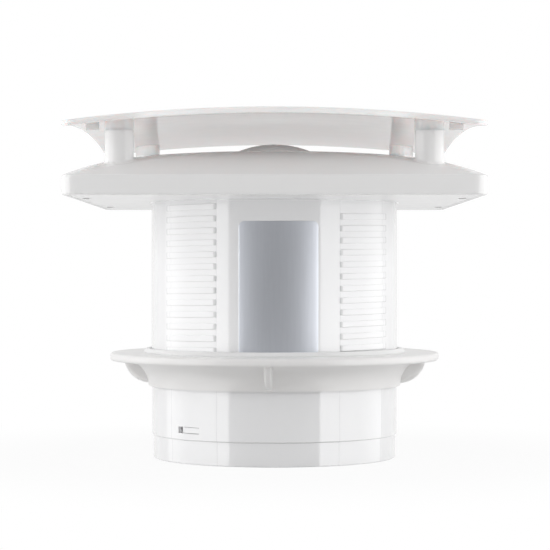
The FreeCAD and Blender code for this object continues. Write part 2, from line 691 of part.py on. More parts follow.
def make_front_panel():
    """Shallow pillow, curved both ways, with bosses and pegs that plug into the cover's posts."""
    body = new_body("front_panel")
    half_width = S.fascia_width / 2
    half_depth = S.fascia_depth / 2
    side_curve = (half_width ** 2 + S.panel_sag_side ** 2) / (S.panel_sag_side * 2)
    front_curve = (half_depth ** 2 + S.panel_sag_front ** 2) / (S.panel_sag_front * 2)
    reach = half_width + S.trim_margin
    top_curve = side_curve + S.panel_thickness
    edge_low = panel_underside - side_curve + root(side_curve ** 2 - reach ** 2)
    edge_high = panel_underside - side_curve + root(top_curve ** 2 - reach ** 2)

    section = new_sketch(body, "panel_section", "XZ_Plane")
    add_outline(section, [(reach, edge_low), (reach, edge_high, top_curve),
                          (-reach, edge_high), (-reach, edge_low, -side_curve)])
    axis_height = panel_underside - front_curve
    axis = sectional_axis(section, reach, axis_height)
    crown = body.newObject("PartDesign::Revolution", "panel_crown")
    crown.Profile = section
    crown.ReferenceAxis = (section, [axis])
    crown.Midplane = True
    sweep = (half_depth + S.trim_margin) / front_curve
    crown.setExpression("Angle", "2 * asin(%s)" % sweep.formula)

    trim = new_sketch(body, "panel_outline", "XY_Plane", panel_underside)
    stock_x = half_width + S.trim_margin * 4
    stock_y = half_depth + S.trim_margin * 4
    add_rectangle(trim, -stock_x, -stock_y, stock_x, stock_y)
    add_round_rectangle(trim, S.fascia_width, S.fascia_depth, S.fascia_corner)
    plate = pocket(body, trim, "panel_trim")
    round_edges(body, plate, "panel_rim", S.panel_round, lambda middle: True)

    middle = panel_underside + S.panel_thickness / 2
    bosses = new_sketch(body, "boss_circles", "XY_Plane", post_top)
    for x, y in four_ways(post_x, post_y):
        add_circle(bosses, x, y, S.post_radius)
    pad(body, bosses, "bosses", middle - panel_drop(post_x, post_y) - post_top)
    pegs = new_sketch(body, "peg_circles", "XY_Plane", post_top - S.peg_length)
    for x, y in four_ways(post_x, post_y):
        add_circle(pegs, x, y, S.peg_radius)
    pad(body, pegs, "pegs", S.peg_length + S.root_depth)
    tab_low = panel_underside - S.tab_drop
    tabs = new_sketch(body, "tab_outlines", "XY_Plane", tab_low)
    half_x = S.tab_width / 2
    half_y = S.tab_thickness / 2
    for x, y in four_ways(tab_x, tab_y):
        add_rectangle(tabs, x - half_x, y - half_y, x + half_x, y + half_y)
    pad(body, tabs, "tabs", middle - panel_drop(tab_x, tab_y) - tab_low)
    return body


def sectional_axis(sketch, reach, height):
    """A level construction line for a revolution, and its name."""
    start = Vector(-number(reach), number(height), 0)
    stop = Vector(number(reach), number(height), 0)
    geometry = sketch.addGeometry(Part.LineSegment(start, stop), True)
    fix_point(sketch, geometry, 1, -reach, height)
    fix_point(sketch, geometry, 2, reach, height)
    return "Axis0"


def make_rating_label():
    """Blank plate with rounded corners, bent round the front of the tube."""
    flat = new_body("label_outline")
    outline = new_sketch(flat, "label_rectangle", "XZ_Plane")
    add_round_rectangle(outline, S.label_width, S.label_height, S.label_corner,
                        label_low + S.label_height / 2)
    inner = S.tube_radius + S.label_glue
    outer = inner + S.label_thickness
    pad(flat, outline, "label_block", outer)
    skin = round_solid("label_skin", [ring_outline(inner, outer, label_low, label_low + S.label_height)])
    return combine("Common", "rating_label", skin, flat)


def make_clamp_ring():
    """Rim, hollow-curved neck, gussets, and thread lugs that lie between the bars of the tube."""
    body = new_body("ring_body")
    profile = new_sketch(body, "ring_profile", "XZ_Plane")
    neck_low = ring_low - S.neck_height
    lip = ring_bore + S.neck_lip
    neck_radius = lip + S.neck_flare
    ring_radius = neck_radius + S.rim_reach
    rim = ring_radius - S.rim_round
    add_outline(profile, [
        (ring_bore, neck_low), (lip, neck_low, -S.neck_curve),
        (neck_radius, ring_low), (rim, ring_low, S.rim_round),
        (ring_radius, ring_low + S.rim_round), (ring_radius, ring_top - S.rim_round, S.rim_round),
        (rim, ring_top), (ring_bore, ring_top)])
    revolve(body, profile, "ring_turned")

    gusset = new_sketch(body, "gusset_profile", "XZ_Plane")
    gusset.AttachmentOffset = Placement(Vector(), Rotation(Vector(0, 1, 0), S.gusset_turn.value))
    gusset.setExpression(".AttachmentOffset.Rotation.Angle", S.gusset_turn.formula)
    inside = ring_bore + S.neck_lip / 2
    outside = neck_radius + S.gusset_step
    add_outline(gusset, [
        (inside, neck_low + S.gusset_rise, S.gusset_curve), (outside, ring_low),
        (outside, ring_low + S.ring_thickness / 2), (inside, ring_low + S.ring_thickness / 2)])
    one = pad(body, gusset, "gusset", S.gusset_thickness, symmetric=True)
    all_four = polar_pattern(body, one, "gussets", S.gusset_count)
    middle_height = (neck_low.value + ring_low.value) / 2
    side = S.gusset_thickness.value / 2
    neck_middle = (lip.value + neck_radius.value) / 2

    def on_gusset_rim(point):
        straight = Rotation(Vector(0, 0, 1), -S.gusset_turn.value).multVec(point)
        on_side = abs(min(abs(straight.x), abs(straight.y)) - side) < NEAR
        return on_side and max(abs(straight.x), abs(straight.y)) > neck_middle and point.z < middle_height

    round_edges(body, all_four, "gussets_rounded", S.gusset_round, on_gusset_rim)

    lugs = []
    lug_width = S.thread_pitch - S.bar_width - S.lug_gap * 2
    middle = (neck_low.value + ring_top.value) / 2
    for angle in THREAD_SECTORS:
        groove = thread_height(angle) - S.thread_pitch.value / 2
        turns = round((groove - middle) / S.thread_pitch.value)
        lugs.append(ring_sector(lug_bore.value, ring_bore.value + S.neck_lip.value / 2,
                                lug_width.value, S.lug_span.value, angle,
                                groove - turns * S.thread_pitch.value, THREAD_TILT))
    return combine("Fuse", "clamp_ring", body, shape_feature("thread_lugs", Part.makeCompound(lugs)))


def make_clamp_washer():
    low = ring_top + S.seat_gap
    return round_solid("clamp_washer", [ring_outline(
        ring_bore, ring_bore + S.washer_width, low, low + S.washer_thickness)])


def make_outlet_sleeve():
    """Outlet ring with a sleeve in the tube, the valve's seat, pin holes and two latch lugs."""
    body = new_body("sleeve_body")
    profile = new_sketch(body, "sleeve_profile", "XZ_Plane")
    outlet_radius = S.tube_radius - S.outlet_step
    seat_low = pin_height + S.flap_thickness / 2 + S.seat_gap
    seat_bore = sleeve_bore - S.seat_reach
    add_outline(profile, [
        (sleeve_bore, 0), (outlet_radius, 0), (outlet_radius, S.outlet_height),
        (sleeve_radius, S.outlet_height), (sleeve_radius, seat_low + S.seat_lip),
        (seat_bore, seat_low + S.seat_lip), (seat_bore, seat_low), (sleeve_bore, seat_low)])
    revolve(body, profile, "sleeve_turned")
    holes = new_sketch(body, "pin_holes", "XZ_Plane")
    add_circle(holes, 0, pin_height, S.pin_radius + S.pin_seat_gap)
    pocket(body, holes, "pin_holes_cut")

    lugs = []
    inner = sleeve_radius.value - S.root_depth.value
    outer = S.tube_radius.value - S.tube_relief.value - S.latch_gap.value
    width = S.slot_height.value - 2 * S.latch_gap.value
    shift = (S.slot_span.value - S.latch_span.value) / 2 - S.latch_end.value
    for angle in (S.slot_angle.value + shift, S.slot_angle.value + shift + 180):
        lugs.append(ring_sector(inner, outer, width, S.latch_span.value, angle, slot_middle.value))
    return combine("Fuse", "outlet_sleeve", body, shape_feature("latch_lugs", Part.makeCompound(lugs)))


def make_flap(label, turn):
    """Half-round flap with two knuckles on the hinge pin. turn places it on the left or the right."""
    body = new_body(label)
    low = pin_height - S.flap_thickness / 2
    plate = new_sketch(body, label + "_outline", "XY_Plane", low)
    end = root(flap_radius ** 2 - flap_root ** 2)
    add_outline(plate, [(-flap_root, -end), (-flap_root, end, flap_radius)])
    pad(body, plate, label + "_plate", S.flap_thickness)
    inner_start = S.spring_length / 2 + S.spring_room
    outer_start = inner_start + S.inner_length + S.knuckle_step
    outer_stop = flap_radius - S.knuckle_end
    spans = [(-outer_stop, outer_stop - outer_start), (inner_start, S.inner_length)]
    for index, (start, length) in enumerate(spans):
        web = new_sketch(body, "%s_web_%d" % (label, index), "XY_Plane", low)
        add_rectangle(web, -flap_root * 2, start, -S.pin_radius, start + length)
        pad(body, web, "%s_web_pad_%d" % (label, index), S.flap_thickness)
        knuckle = new_sketch(body, "%s_knuckle_%d" % (label, index), "XZ_Plane", -(start + length))
        add_circle(knuckle, 0, pin_height, S.knuckle_radius)
        pad(body, knuckle, "%s_knuckle_pad_%d" % (label, index), length)
    bore = new_sketch(body, label + "_bore", "XZ_Plane")
    add_circle(bore, 0, pin_height, S.pin_radius + S.pin_gap)
    pocket(body, bore, label + "_bore_cut")
    body.Placement = Placement(Vector(0, 0, 0), Rotation(Vector(0, 0, 1), turn))
    return body


def make_flap_pin():
    pin = doc.addObject("Part::Cylinder", "flap_pin")
    bind(pin, "Radius", S.pin_radius)
    bind(pin, "Height", (sleeve_radius - S.sleeve_gap) * 2)
    pin.Placement = Placement(Vector(0, 0, 0), Rotation(Vector(1, 0, 0), -90))
    pin.setExpression(".Placement.Base.y", (S.sleeve_gap - sleeve_radius).formula)
    pin.setExpression(".Placement.Base.z", pin_height.formula)
    return pin


def arc_from(start, tangent, stop):
    """The arc that leaves start along tangent and ends at stop."""
    chord = stop - start
    normal = (chord - tangent * chord.dot(tangent)).normalize()
    centre = start + normal * (chord.dot(chord) / (2 * chord.dot(normal)))
    outward = ((start + stop) / 2 - centre).normalize()
    return Part.Arc(start, centre + outward * (start - centre).Length, stop).toShape()


def make_flap_spring():
    """Coil round the middle of the hinge pin: two smoothly joined arcs for each quarter turn."""
    wire = S.spring_wire.value / 2
    radius = S.pin_radius.value + S.spring_gap.value + wire
    quarters = 4 * int(S.spring_turns.value)
    rise = S.spring_length.value / quarters
    places = []
    for quarter in range(quarters + 1):
        turn = math.pi / 2 * quarter
        place = Vector(radius * math.cos(turn), radius * math.sin(turn), rise * quarter)
        along = Vector(-radius * math.sin(turn), radius * math.cos(turn), rise * 2 / math.pi).normalize()
        places.append((place, along))
    arcs = []
    for (start, leave), (stop, arrive) in zip(places, places[1:]):
        chord = stop - start
        spread = 2 * (1 - leave.dot(arrive))
        both = chord.dot(leave + arrive)
        reach = (math.sqrt(both ** 2 + spread * chord.dot(chord)) - both) / spread
        joint = (start + stop + (leave - arrive) * reach) / 2
        arcs.append(arc_from(start, leave, joint))
        arcs.append(arc_from(joint, (stop - joint - arrive * reach).normalize(), stop))
    section = Part.makeCircle(wire, places[0][0], places[0][1])
    coil = Part.Wire(arcs).makePipeShell([Part.Wire(section)], True, False)
    spring = shape_feature("flap_spring", coil)
    spring.Placement = Placement(Vector(0, -S.spring_length.value / 2, pin_height.value),
                                 Rotation(Vector(1, 0, 0), -90))
    return spring


def make_motor_carrier():
    """Domed motor cup held by ribs in a ring on the tube's end, with two rings that guard the inlet."""
    body = new_body("motor_carrier")
    cup_brim = cup_shoulder + S.cup_collar
    cup_top = cup_brim + S.cup_rise
    inner_top = cup_top - S.carrier_wall
    ledge_bore = cup_bore - S.cup_ledge
    outer_curve = (cup_radius ** 2 + S.cup_rise ** 2) / (S.cup_rise * 2)
    inner_curve = outer_curve - S.carrier_wall
    inner_brim = cup_top - outer_curve + root(inner_curve ** 2 - ledge_bore ** 2)
    cup = new_sketch(body, "cup_profile", "XZ_Plane")
    add_outline(cup, [
        (cup_bore, cup_low), (cup_radius, cup_low), (cup_radius, cup_brim, outer_curve),
        (0, cup_top), (0, inner_top, -inner_curve), (ledge_bore, inner_brim),
        (ledge_bore, cup_shoulder), (cup_bore, cup_shoulder)])
    revolve(body, cup, "cup")

    rib = new_sketch(body, "rib_outline", "XY_Plane", rib_low)
    half = S.rib_thickness / 2
    add_rectangle(rib, -half, cup_radius - S.carrier_wall / 2, half, carrier_bore + S.carrier_wall / 2)
    one = pad(body, rib, "rib", S.rib_height)
    polar_pattern(body, one, "ribs", S.rib_count)

    rings = new_sketch(body, "ring_profiles", "XZ_Plane")
    add_outline(rings, [
        (carrier_bore, tube_top - S.carrier_lip), (tube_bore - S.carrier_gap, tube_top - S.carrier_lip),
        (tube_bore - S.carrier_gap, tube_top), (S.tube_radius - S.carrier_gap, tube_top),
        (S.tube_radius - S.carrier_gap, carrier_top), (carrier_bore, carrier_top)])
    step = (carrier_bore - cup_radius) / 3
    for middle in (cup_radius + step, carrier_bore - step):
        add_outline(rings, ring_outline(middle - half, middle + half, rib_low, rib_top))
    revolve(body, rings, "guard_rings")

    notch = new_sketch(body, "lead_notch_outline", "XY_Plane", carrier_top)
    add_rectangle(notch, -S.lead_notch / 2, carrier_bore - S.carrier_wall, S.lead_notch / 2, S.tube_radius)
    pocket(body, notch, "lead_notch_cut", carrier_top - rib_top)
    holes = new_sketch(body, "carrier_screw_holes", "YZ_Plane")
    add_circle(holes, 0, screw_height, S.screw_radius + S.press_gap)
    pocket(body, holes, "carrier_screw_holes_cut")
    return body


def make_motor_can():
    bore = S.bearing_radius + S.press_gap
    floor = can_low + S.can_end
    body = round_solid("motor_can", [[
        (bore, can_low), (S.can_radius, can_low), (S.can_radius, cup_shoulder),
        (can_bore, cup_shoulder), (can_bore, floor), (bore, floor)]])
    holes = new_sketch(body, "can_screw_holes", "YZ_Plane")
    add_circle(holes, 0, screw_height, S.screw_radius + S.press_gap)
    pocket(body, holes, "can_screw_holes_cut")
    return body


def make_motor_end_cap():
    low = cup_shoulder - S.cap_thickness
    bore = S.bearing_radius + S.press_gap
    seat = low + S.cap_thickness / 2
    return round_solid("motor_end_cap", [[
        (0, cup_shoulder), (0, seat), (bore, seat), (bore, rear_bearing_low), (S.cap_boss, rear_bearing_low),
        (S.cap_boss, low), (can_bore - S.press_gap, low), (can_bore - S.press_gap, cup_shoulder)]])


def make_bearing(label, low):
    return round_solid(label, [ring_outline(
        S.shaft_radius + S.running_gap, S.bearing_radius, low, low + S.bearing_length)])


def make_stator_core():
    return round_solid("stator_core", [ring_outline(
        S.rotor_radius + S.air_gap, can_bore - S.press_gap, stator_low, stack_top)])


def make_stator_coil(label, low):
    return round_solid(label, [ring_outline(
        S.rotor_radius + S.air_gap + S.coil_inset, can_bore - S.coil_inset, low, low + S.coil_length)])


def make_rotor_core():
    return round_solid("rotor_core", [ring_outline(
        S.shaft_radius + S.pin_seat_gap, S.rotor_radius, stator_low, stack_top)])


def make_motor_shaft():
    shaft = doc.addObject("Part::Cylinder", "motor_shaft")
    bind(shaft, "Radius", S.shaft_radius)
    bind(shaft, "Height", cup_shoulder - S.shaft_room - shaft_low)
    shaft.setExpression(".Placement.Base.z", shaft_low.formula)
    return shaft


def make_motor_screws():
    """Two screws through the cup's wall into the motor can, on the left and the right."""
    body = new_body("motor_screws")
    body.AllowCompound = True
    sides = [("right", can_bore, cup_radius), ("left", -cup_radius, -(cup_radius + S.screw_head_height))]
    for name, shank_start, head_start in sides:
        shank = new_sketch(body, name + "_shank", "YZ_Plane", shank_start)
        add_circle(shank, 0, screw_height, S.screw_radius)
        pad(body, shank, name + "_shank_pad", cup_radius - can_bore)
        head = new_sketch(body, name + "_head", "YZ_Plane", head_start)
        add_circle(head, 0, screw_height, S.screw_head)
        pad(body, head, name + "_head_pad", S.screw_head_height)
    return body


def blade_section(body, name, distance, half_chord, pitch):
    """Bowed blade section on a plane across the radius, turned to the blade's pitch."""
    sketch = new_sketch(body, name, "YZ_Plane", distance)
    along = Vector(math.cos(math.radians(pitch.value)), math.sin(math.radians(pitch.value)), 0)
    cosine = Size(along.x, "cos(%s * 1 deg)" % pitch.formula)
    sine = Size(along.y, "sin(%s * 1 deg)" % pitch.formula)
    middle = (hub_low + hub_top) / 2
    half = S.blade_thickness / 2
    curve = (half_chord ** 2 + S.blade_camber ** 2) / (S.blade_camber * 2)

    def corner(chord, lift):
        return (cosine * chord - sine * lift, middle + sine * chord + cosine * lift)

    add_outline(sketch, [
        corner(-half_chord, -half) + (-curve,), corner(half_chord, -half),
        corner(half_chord, half) + (curve,), corner(-half_chord, half)])
    return sketch


def make_impeller():
    """Cup-shaped hub with a shaft boss and twisted, bowed blades."""
    bore = S.shaft_radius + S.pin_seat_gap
    floor_top = hub_low + S.hub_floor
    boss_top = hub_low + S.boss_length
    body = round_solid("impeller", [[
        (bore, hub_low), (S.hub_radius, hub_low), (S.hub_radius, hub_top),
        (S.hub_radius - S.hub_wall, hub_top), (S.hub_radius - S.hub_wall, floor_top),
        (S.boss_radius, floor_top), (S.boss_radius, boss_top), (bore, boss_top)]])
    root_section = blade_section(body, "blade_root", root(
        (S.hub_radius - S.root_depth) ** 2 - S.root_half_chord ** 2), S.root_half_chord, S.root_pitch)
    tip_section = blade_section(body, "blade_tip", tip_radius + S.root_depth, S.tip_half_chord, S.tip_pitch)
    blade = loft(body, "AdditiveLoft", "blade", [root_section, tip_section])
    polar_pattern(body, blade, "blades", S.blade_count)
    trim = new_sketch(body, "tip_circles", "XY_Plane", hub_low)
    add_circle(trim, 0, 0, tip_radius)
    add_circle(trim, 0, 0, S.tube_radius * 2)
    pocket(body, trim, "tip_trim")
    return body


def make_impeller_nut():
    body = new_body("impeller_nut")
    sketch = new_sketch(body, "nut_outline", "XY_Plane", hub_low - S.nut_height)
    corners = []
    for side in range(6):
        angle = math.radians(60 * side)
        corners.append((S.nut_radius * math.cos(angle), S.nut_radius * math.sin(angle)))
    add_outline(sketch, corners)
    add_circle(sketch, 0, 0, S.shaft_radius + S.pin_seat_gap)
    pad(body, sketch, "nut", S.nut_height)
    return body


def make_terminal_block():
    body = new_body("terminal_block")
    base = new_sketch(body, "block_outline", "XY_Plane", plate_top)
    half_x = S.block_width / 2
    add_rectangle(base, -half_x, block_start, half_x, block_start + S.block_depth)
    pad(body, base, "block", block_top - plate_top)
    holes = new_sketch(body, "terminal_holes", "XY_Plane", block_top)
    for x in (-S.terminal_pitch / 2, S.terminal_pitch / 2):
        add_circle(holes, x, block_y, S.terminal_radius + S.terminal_gap)
    pocket(body, holes, "terminal_holes_cut", S.terminal_depth)
    return body


def make_terminal_screws():
    body = new_body("terminal_screws")
    body.AllowCompound = True
    low = block_top - S.terminal_depth
    sketch = new_sketch(body, "terminal_screw_circles", "XY_Plane", low)
    for x in (-S.terminal_pitch / 2, S.terminal_pitch / 2):
        add_circle(sketch, x, block_y, S.terminal_radius)
    pad(body, sketch, "terminal_screw_pad", S.terminal_depth - S.terminal_sink)
    return body


def make_lead(label, x):
    """Straight wire from the terminal block to the motor cup, lying on a rib."""
    start = block_start - S.lead_gap
    stop = cup_radius + S.lead_gap
    lead = doc.addObject("Part::Cylinder", label)
    bind(lead, "Radius", S.lead_radius)
    bind(lead, "Height", start - stop)
    lead.Placement = Placement(Vector(0, 0, 0), Rotation(Vector(1, 0, 0), -90))
    lead.setExpression(".Placement.Base.x", x.formula)
    lead.setExpression(".Placement.Base.y", stop.formula)
    lead.setExpression(".Placement.Base.z", lead_height.formula)
    return lead


def make_cable_grommet():
    body = round_solid("cable_grommet", [[
        (S.cable_radius, S.wall_face), (S.grommet_radius - S.grommet_gap, S.wall_face),
        (S.grommet_radius - S.grommet_gap, plate_top), (S.grommet_flange, plate_top),
        (S.grommet_flange, plate_top + S.grommet_lip), (S.cable_radius, plate_top + S.grommet_lip)]])
    body.setExpression(".Placement.Base.x", S.grommet_x.formula)
    body.setExpression(".Placement.Base.y", grommet_y.formula)
    return body


nodes = [
    make_duct_housing(), make_back_plate(), make_front_cover(), make_front_panel(), make_rating_label(),
    make_clamp_ring(), make_clamp_washer(), make_outlet_sleeve(),
    make_flap("flap_left", 0), make_flap("flap_right", 180), make_flap_pin(), make_flap_spring(),
    make_motor_carrier(), make_motor_can(), make_motor_end_cap(),
    make_bearing("front_bearing", front_bearing_low), make_bearing("rear_bearing", rear_bearing_low),
    make_stator_core(), make_stator_coil("stator_coil_front", stator_low - S.coil_length),
    make_stator_coil("stator_coil_rear", stack_top), make_rotor_core(), make_motor_shaft(),
    make_motor_screws(), make_impeller(), make_impeller_nut(),
    make_terminal_block(), make_terminal_screws(), make_lead("live_lead", S.lead_x),
    make_lead("neutral_lead", -S.lead_x), make_cable_grommet(),
]
doc.recompute()

for thing in doc.Objects:
    if "Invalid" in thing.State or "Error" in thing.State:
        raise RuntimeError("%s failed: %s" % (thing.Label, thing.State))
    if thing.TypeId in ("PartDesign::Pocket", "PartDesign::SubtractiveLoft"):
        if thing.Shape.Volume >= thing.BaseFeature.Shape.Volume:
            raise RuntimeError("%s cuts nothing" % thing.Label)
for node in nodes:
    if node.Shape.isNull() or not node.Shape.isValid():
        raise RuntimeError("%s has no valid shape" % node.Label)

os.makedirs("parts", exist_ok=True)
for node in nodes:
    node.Shape.exportStep("parts/%s.step" % node.Label)
    print("%-18s %d solids %10.1f mm3" % (node.Label, len(node.Shape.Solids), node.Shape.Volume))
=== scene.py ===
# %% [markdown]
# # A through-wall exhaust fan, dressed for its photograph
#
# The fan was built in CAD first: every piece has its real size, and the moving ones have real joints.
# This notebook loads that model as a fixed frame, remodels the turned shells with the softly edged, finely
# divided meshes that gloss needs, gives every surface a finish made of shader nodes, and lights it as a
# product photographer would. Lengths are metres, +Z runs up the duct and the label looks towards -Y.

# %% Load the frame
import json
import math

import bpy
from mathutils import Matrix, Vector


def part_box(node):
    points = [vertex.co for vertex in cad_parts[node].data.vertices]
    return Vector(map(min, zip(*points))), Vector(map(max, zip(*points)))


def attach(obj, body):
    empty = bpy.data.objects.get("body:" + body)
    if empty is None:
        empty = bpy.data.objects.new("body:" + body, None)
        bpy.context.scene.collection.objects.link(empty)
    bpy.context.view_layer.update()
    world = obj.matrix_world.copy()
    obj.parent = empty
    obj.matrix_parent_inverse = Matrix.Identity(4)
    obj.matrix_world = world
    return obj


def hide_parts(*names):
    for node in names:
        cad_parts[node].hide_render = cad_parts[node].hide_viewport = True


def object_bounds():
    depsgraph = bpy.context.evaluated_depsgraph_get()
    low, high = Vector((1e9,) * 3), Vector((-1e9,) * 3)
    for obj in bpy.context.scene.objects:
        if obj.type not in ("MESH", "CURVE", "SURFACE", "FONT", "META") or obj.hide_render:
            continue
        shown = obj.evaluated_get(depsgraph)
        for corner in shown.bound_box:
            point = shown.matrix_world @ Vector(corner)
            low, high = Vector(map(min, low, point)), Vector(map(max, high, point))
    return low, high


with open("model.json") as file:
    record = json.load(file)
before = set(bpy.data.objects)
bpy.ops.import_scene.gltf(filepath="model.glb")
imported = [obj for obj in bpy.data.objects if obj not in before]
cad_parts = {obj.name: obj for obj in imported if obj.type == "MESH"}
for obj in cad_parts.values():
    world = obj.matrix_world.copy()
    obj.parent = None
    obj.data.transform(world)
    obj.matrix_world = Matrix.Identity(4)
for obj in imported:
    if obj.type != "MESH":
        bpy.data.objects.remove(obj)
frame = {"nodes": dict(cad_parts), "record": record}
cad_low, cad_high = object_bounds()
nodes = frame["nodes"]
print("CAD box", [round(v, 4) for v in cad_low], [round(v, 4) for v in cad_high], len(nodes), "nodes")

# %% [markdown]
# ## The camera
#
# The photograph was taken from far away with a long lens, held level, about half-way up the fan. The tube
# fixes the scale: its two edges are 246 pixels apart and it is 98 mm wide. How much the round rims open
# up into ellipses gives the distance, and the distance and the scale together give the lens. The lens
# shift only moves the picture a few pixels in its frame, so no upright edge starts to lean.

# %% Camera
FRAME_PIXELS = 550
CAMERA_DISTANCE = 0.820
CAMERA_HEIGHT = 0.0755
FOCAL_PIXELS = 2052
PICTURE_CENTRE = (274.4, 267.0)
SENSOR_MM = 36.0
CLIP_START = 0.01

camera_data = bpy.data.cameras.new("photo_camera")
camera_data.sensor_width = SENSOR_MM
camera_data.lens = FOCAL_PIXELS / FRAME_PIXELS * SENSOR_MM
camera_data.shift_x = (FRAME_PIXELS / 2 - PICTURE_CENTRE[0]) / FRAME_PIXELS
camera_data.shift_y = (PICTURE_CENTRE[1] - FRAME_PIXELS / 2) / FRAME_PIXELS
camera_data.clip_start = CLIP_START
camera = bpy.data.objects.new("photo_camera", camera_data)
camera.location = (0.0, -CAMERA_DISTANCE, CAMERA_HEIGHT)
camera.rotation_euler = (math.pi / 2, 0.0, 0.0)
bpy.context.scene.collection.objects.link(camera)
bpy.context.scene.camera = camera
print("lens", round(camera_data.lens, 1), "mm, shift", round(camera_data.shift_y, 4))

# %% [markdown]
# ## Shader maths that reads like maths
#
# A finish is a small graph of nodes. To keep the graphs readable, a wire stands for one node's output, and
# sums, differences and products of wires add the Math nodes by themselves.

# %% Wires


class Wire:
    """One output of a shader node. Sums, differences and products of wires add Math nodes."""

    def __init__(self, graph, socket):
        self.graph = graph
        self.socket = socket

    def math(self, operation, first, second=0.0):
        return self.graph.node("ShaderNodeMath", {"operation": operation}, {0: first, 1: second}, "Value")

    def __add__(self, other):
        return self.math("ADD", self, other)

    def __sub__(self, other):
        return self.math("SUBTRACT", self, other)

    def __rsub__(self, other):
        return self.math("SUBTRACT", other, self)

    def __mul__(self, other):
        return self.math("MULTIPLY", self, other)

    def __abs__(self):
        return self.math("ABSOLUTE", self)

    def larger(self, other):
        return self.math("MAXIMUM", self, other)


print("wires can be added, subtracted, multiplied and compared")

# %% [markdown]
# ## Graphs of nodes
#
# One graph class adds any node by its type. It serves for materials, for the floor, for the lamps and for
# the world. A finish is a graph with a Principled shader at its end, and it knows the few textures that
# this fan needs.

# %% Graphs and finishes


class Graph:
    """A node tree and the few ways of adding to it."""

    def __init__(self, tree):
        self.nodes = tree.nodes
        self.links = tree.links

    def node(self, kind, settings, sockets, output):
        """Adds a node, sets its settings, fills its sockets and gives one of its outputs."""
        made = self.nodes.new(kind)
        for name, value in settings.items():
            setattr(made, name, value)
        for name, value in sockets.items():
            self.fill(made.inputs[name], value)
        return Wire(self, made.outputs[output])

    def fill(self, socket, value):
        if isinstance(value, Wire):
            self.links.new(value.socket, socket)
        else:
            socket.default_value = value

    def axis(self, vector, letter):
        return self.node("ShaderNodeSeparateXYZ", {}, {"Vector": vector}, letter)

    def ramp(self, value, start, stop, low=0.0, high=1.0):
        """Runs smoothly from low to high while value runs from start to stop."""
        sockets = {"Value": value, "From Min": start, "From Max": stop, "To Min": low, "To Max": high}
        return self.node("ShaderNodeMapRange", {"interpolation_type": "SMOOTHSTEP"}, sockets, "Result")

    def ray(self, kind):
        return self.node("ShaderNodeLightPath", {}, {}, kind)


class Finish(Graph):
    """A material with one Principled shader."""

    def __init__(self, name, **constants):
        self.material = bpy.data.materials.new(name)
        self.material.use_nodes = True
        super().__init__(self.material.node_tree)
        self.shader = self.nodes["Principled BSDF"]
        for socket, value in constants.items():
            self.shader.inputs[socket.replace("_", " ")].default_value = value

    def set(self, socket, wire):
        self.fill(self.shader.inputs[socket], wire)

    def place(self):
        return self.node("ShaderNodeTexCoord", {}, {}, "Object")

    def noise(self, scale, detail=2.0, vector=None):
        sockets = {"Vector": vector or self.place(), "Scale": scale, "Detail": detail}
        return self.node("ShaderNodeTexNoise", {}, sockets, "Fac")

    def mix(self, factor, first, second):
        # The Mix node has sockets for several kinds of value. The colours are inputs 6 and 7, output 2.
        sockets = {"Factor": factor, 6: first, 7: second}
        return self.node("ShaderNodeMix", {"data_type": "RGBA"}, sockets, 2)

    def bump(self, height, strength, distance):
        sockets = {"Height": height, "Strength": strength, "Distance": distance}
        self.set("Normal", self.node("ShaderNodeBump", {}, sockets, "Normal"))


print("a finish starts from the Principled shader")

# %% [markdown]
# ## White plastic
#
# Nearly everything here is the same white moulding. A mould leaves a faint ripple in the gloss and cloudy
# places where the plastic cooled more slowly, both far too weak to name but enough that a clean white
# stops looking like paper. The cover is glossy and the clamp ring is duller. The panel is thin enough to
# let daylight through, so its plastic scatters light inside and glows a little warmer on its shaded side.
# Its top has a satin grain, and only its underside is polished.

# %% White finishes
CLOUD_SCALE = 28.0
GLOSS_SCALE = 90.0
GLOSS_SPREAD = 0.04
RIPPLE_SCALE = 420.0
RIPPLE_STRENGTH = 0.012
RIPPLE_HEIGHT = 0.00006
PANEL_SCATTER = 0.0045
PANEL_POLISH = 0.12
SATIN_TOP = 0.38
SATIN_EDGE = (-0.2, 0.2)


def moulded_white(name, pale, deep, gloss, **constants):
    """A white moulding: cloudy colour, uneven gloss and a fine ripple."""
    finish = Finish(name, IOR=1.5, **constants)
    finish.colour = finish.mix(finish.noise(CLOUD_SCALE), pale, deep)
    finish.set("Base Color", finish.colour)
    finish.gloss = finish.noise(GLOSS_SCALE, 4.0) * GLOSS_SPREAD + gloss
    finish.set("Roughness", finish.gloss)
    finish.ripple = finish.noise(RIPPLE_SCALE, 3.0)
    finish.bump(finish.ripple, RIPPLE_STRENGTH, RIPPLE_HEIGHT)
    return finish


cover_white = moulded_white("cover_white", (0.885, 0.882, 0.88, 1), (0.868, 0.864, 0.862, 1), 0.16)
ring_white = moulded_white("ring_white", (0.85, 0.842, 0.836, 1), (0.835, 0.826, 0.818, 1), 0.3,
                           Coat_Weight=0.2, Coat_Roughness=0.25)
soft_white = moulded_white("soft_white", (0.87, 0.87, 0.87, 1), (0.85, 0.85, 0.85, 1), 0.3)
panel_white = moulded_white("panel_white", (0.88, 0.855, 0.85, 1), (0.865, 0.838, 0.832, 1), PANEL_POLISH,
                            Subsurface_Weight=0.7, Subsurface_Radius=(1.0, 0.7, 0.64),
                            Subsurface_Scale=PANEL_SCATTER)
upwards = panel_white.axis(panel_white.node("ShaderNodeTexCoord", {}, {}, "Normal"), "Z")
panel_white.set("Roughness", panel_white.gloss + panel_white.ramp(upwards, *SATIN_EDGE, 0.0, SATIN_TOP))
print("white finishes:", cover_white.material.name, panel_white.material.name, ring_white.material.name)

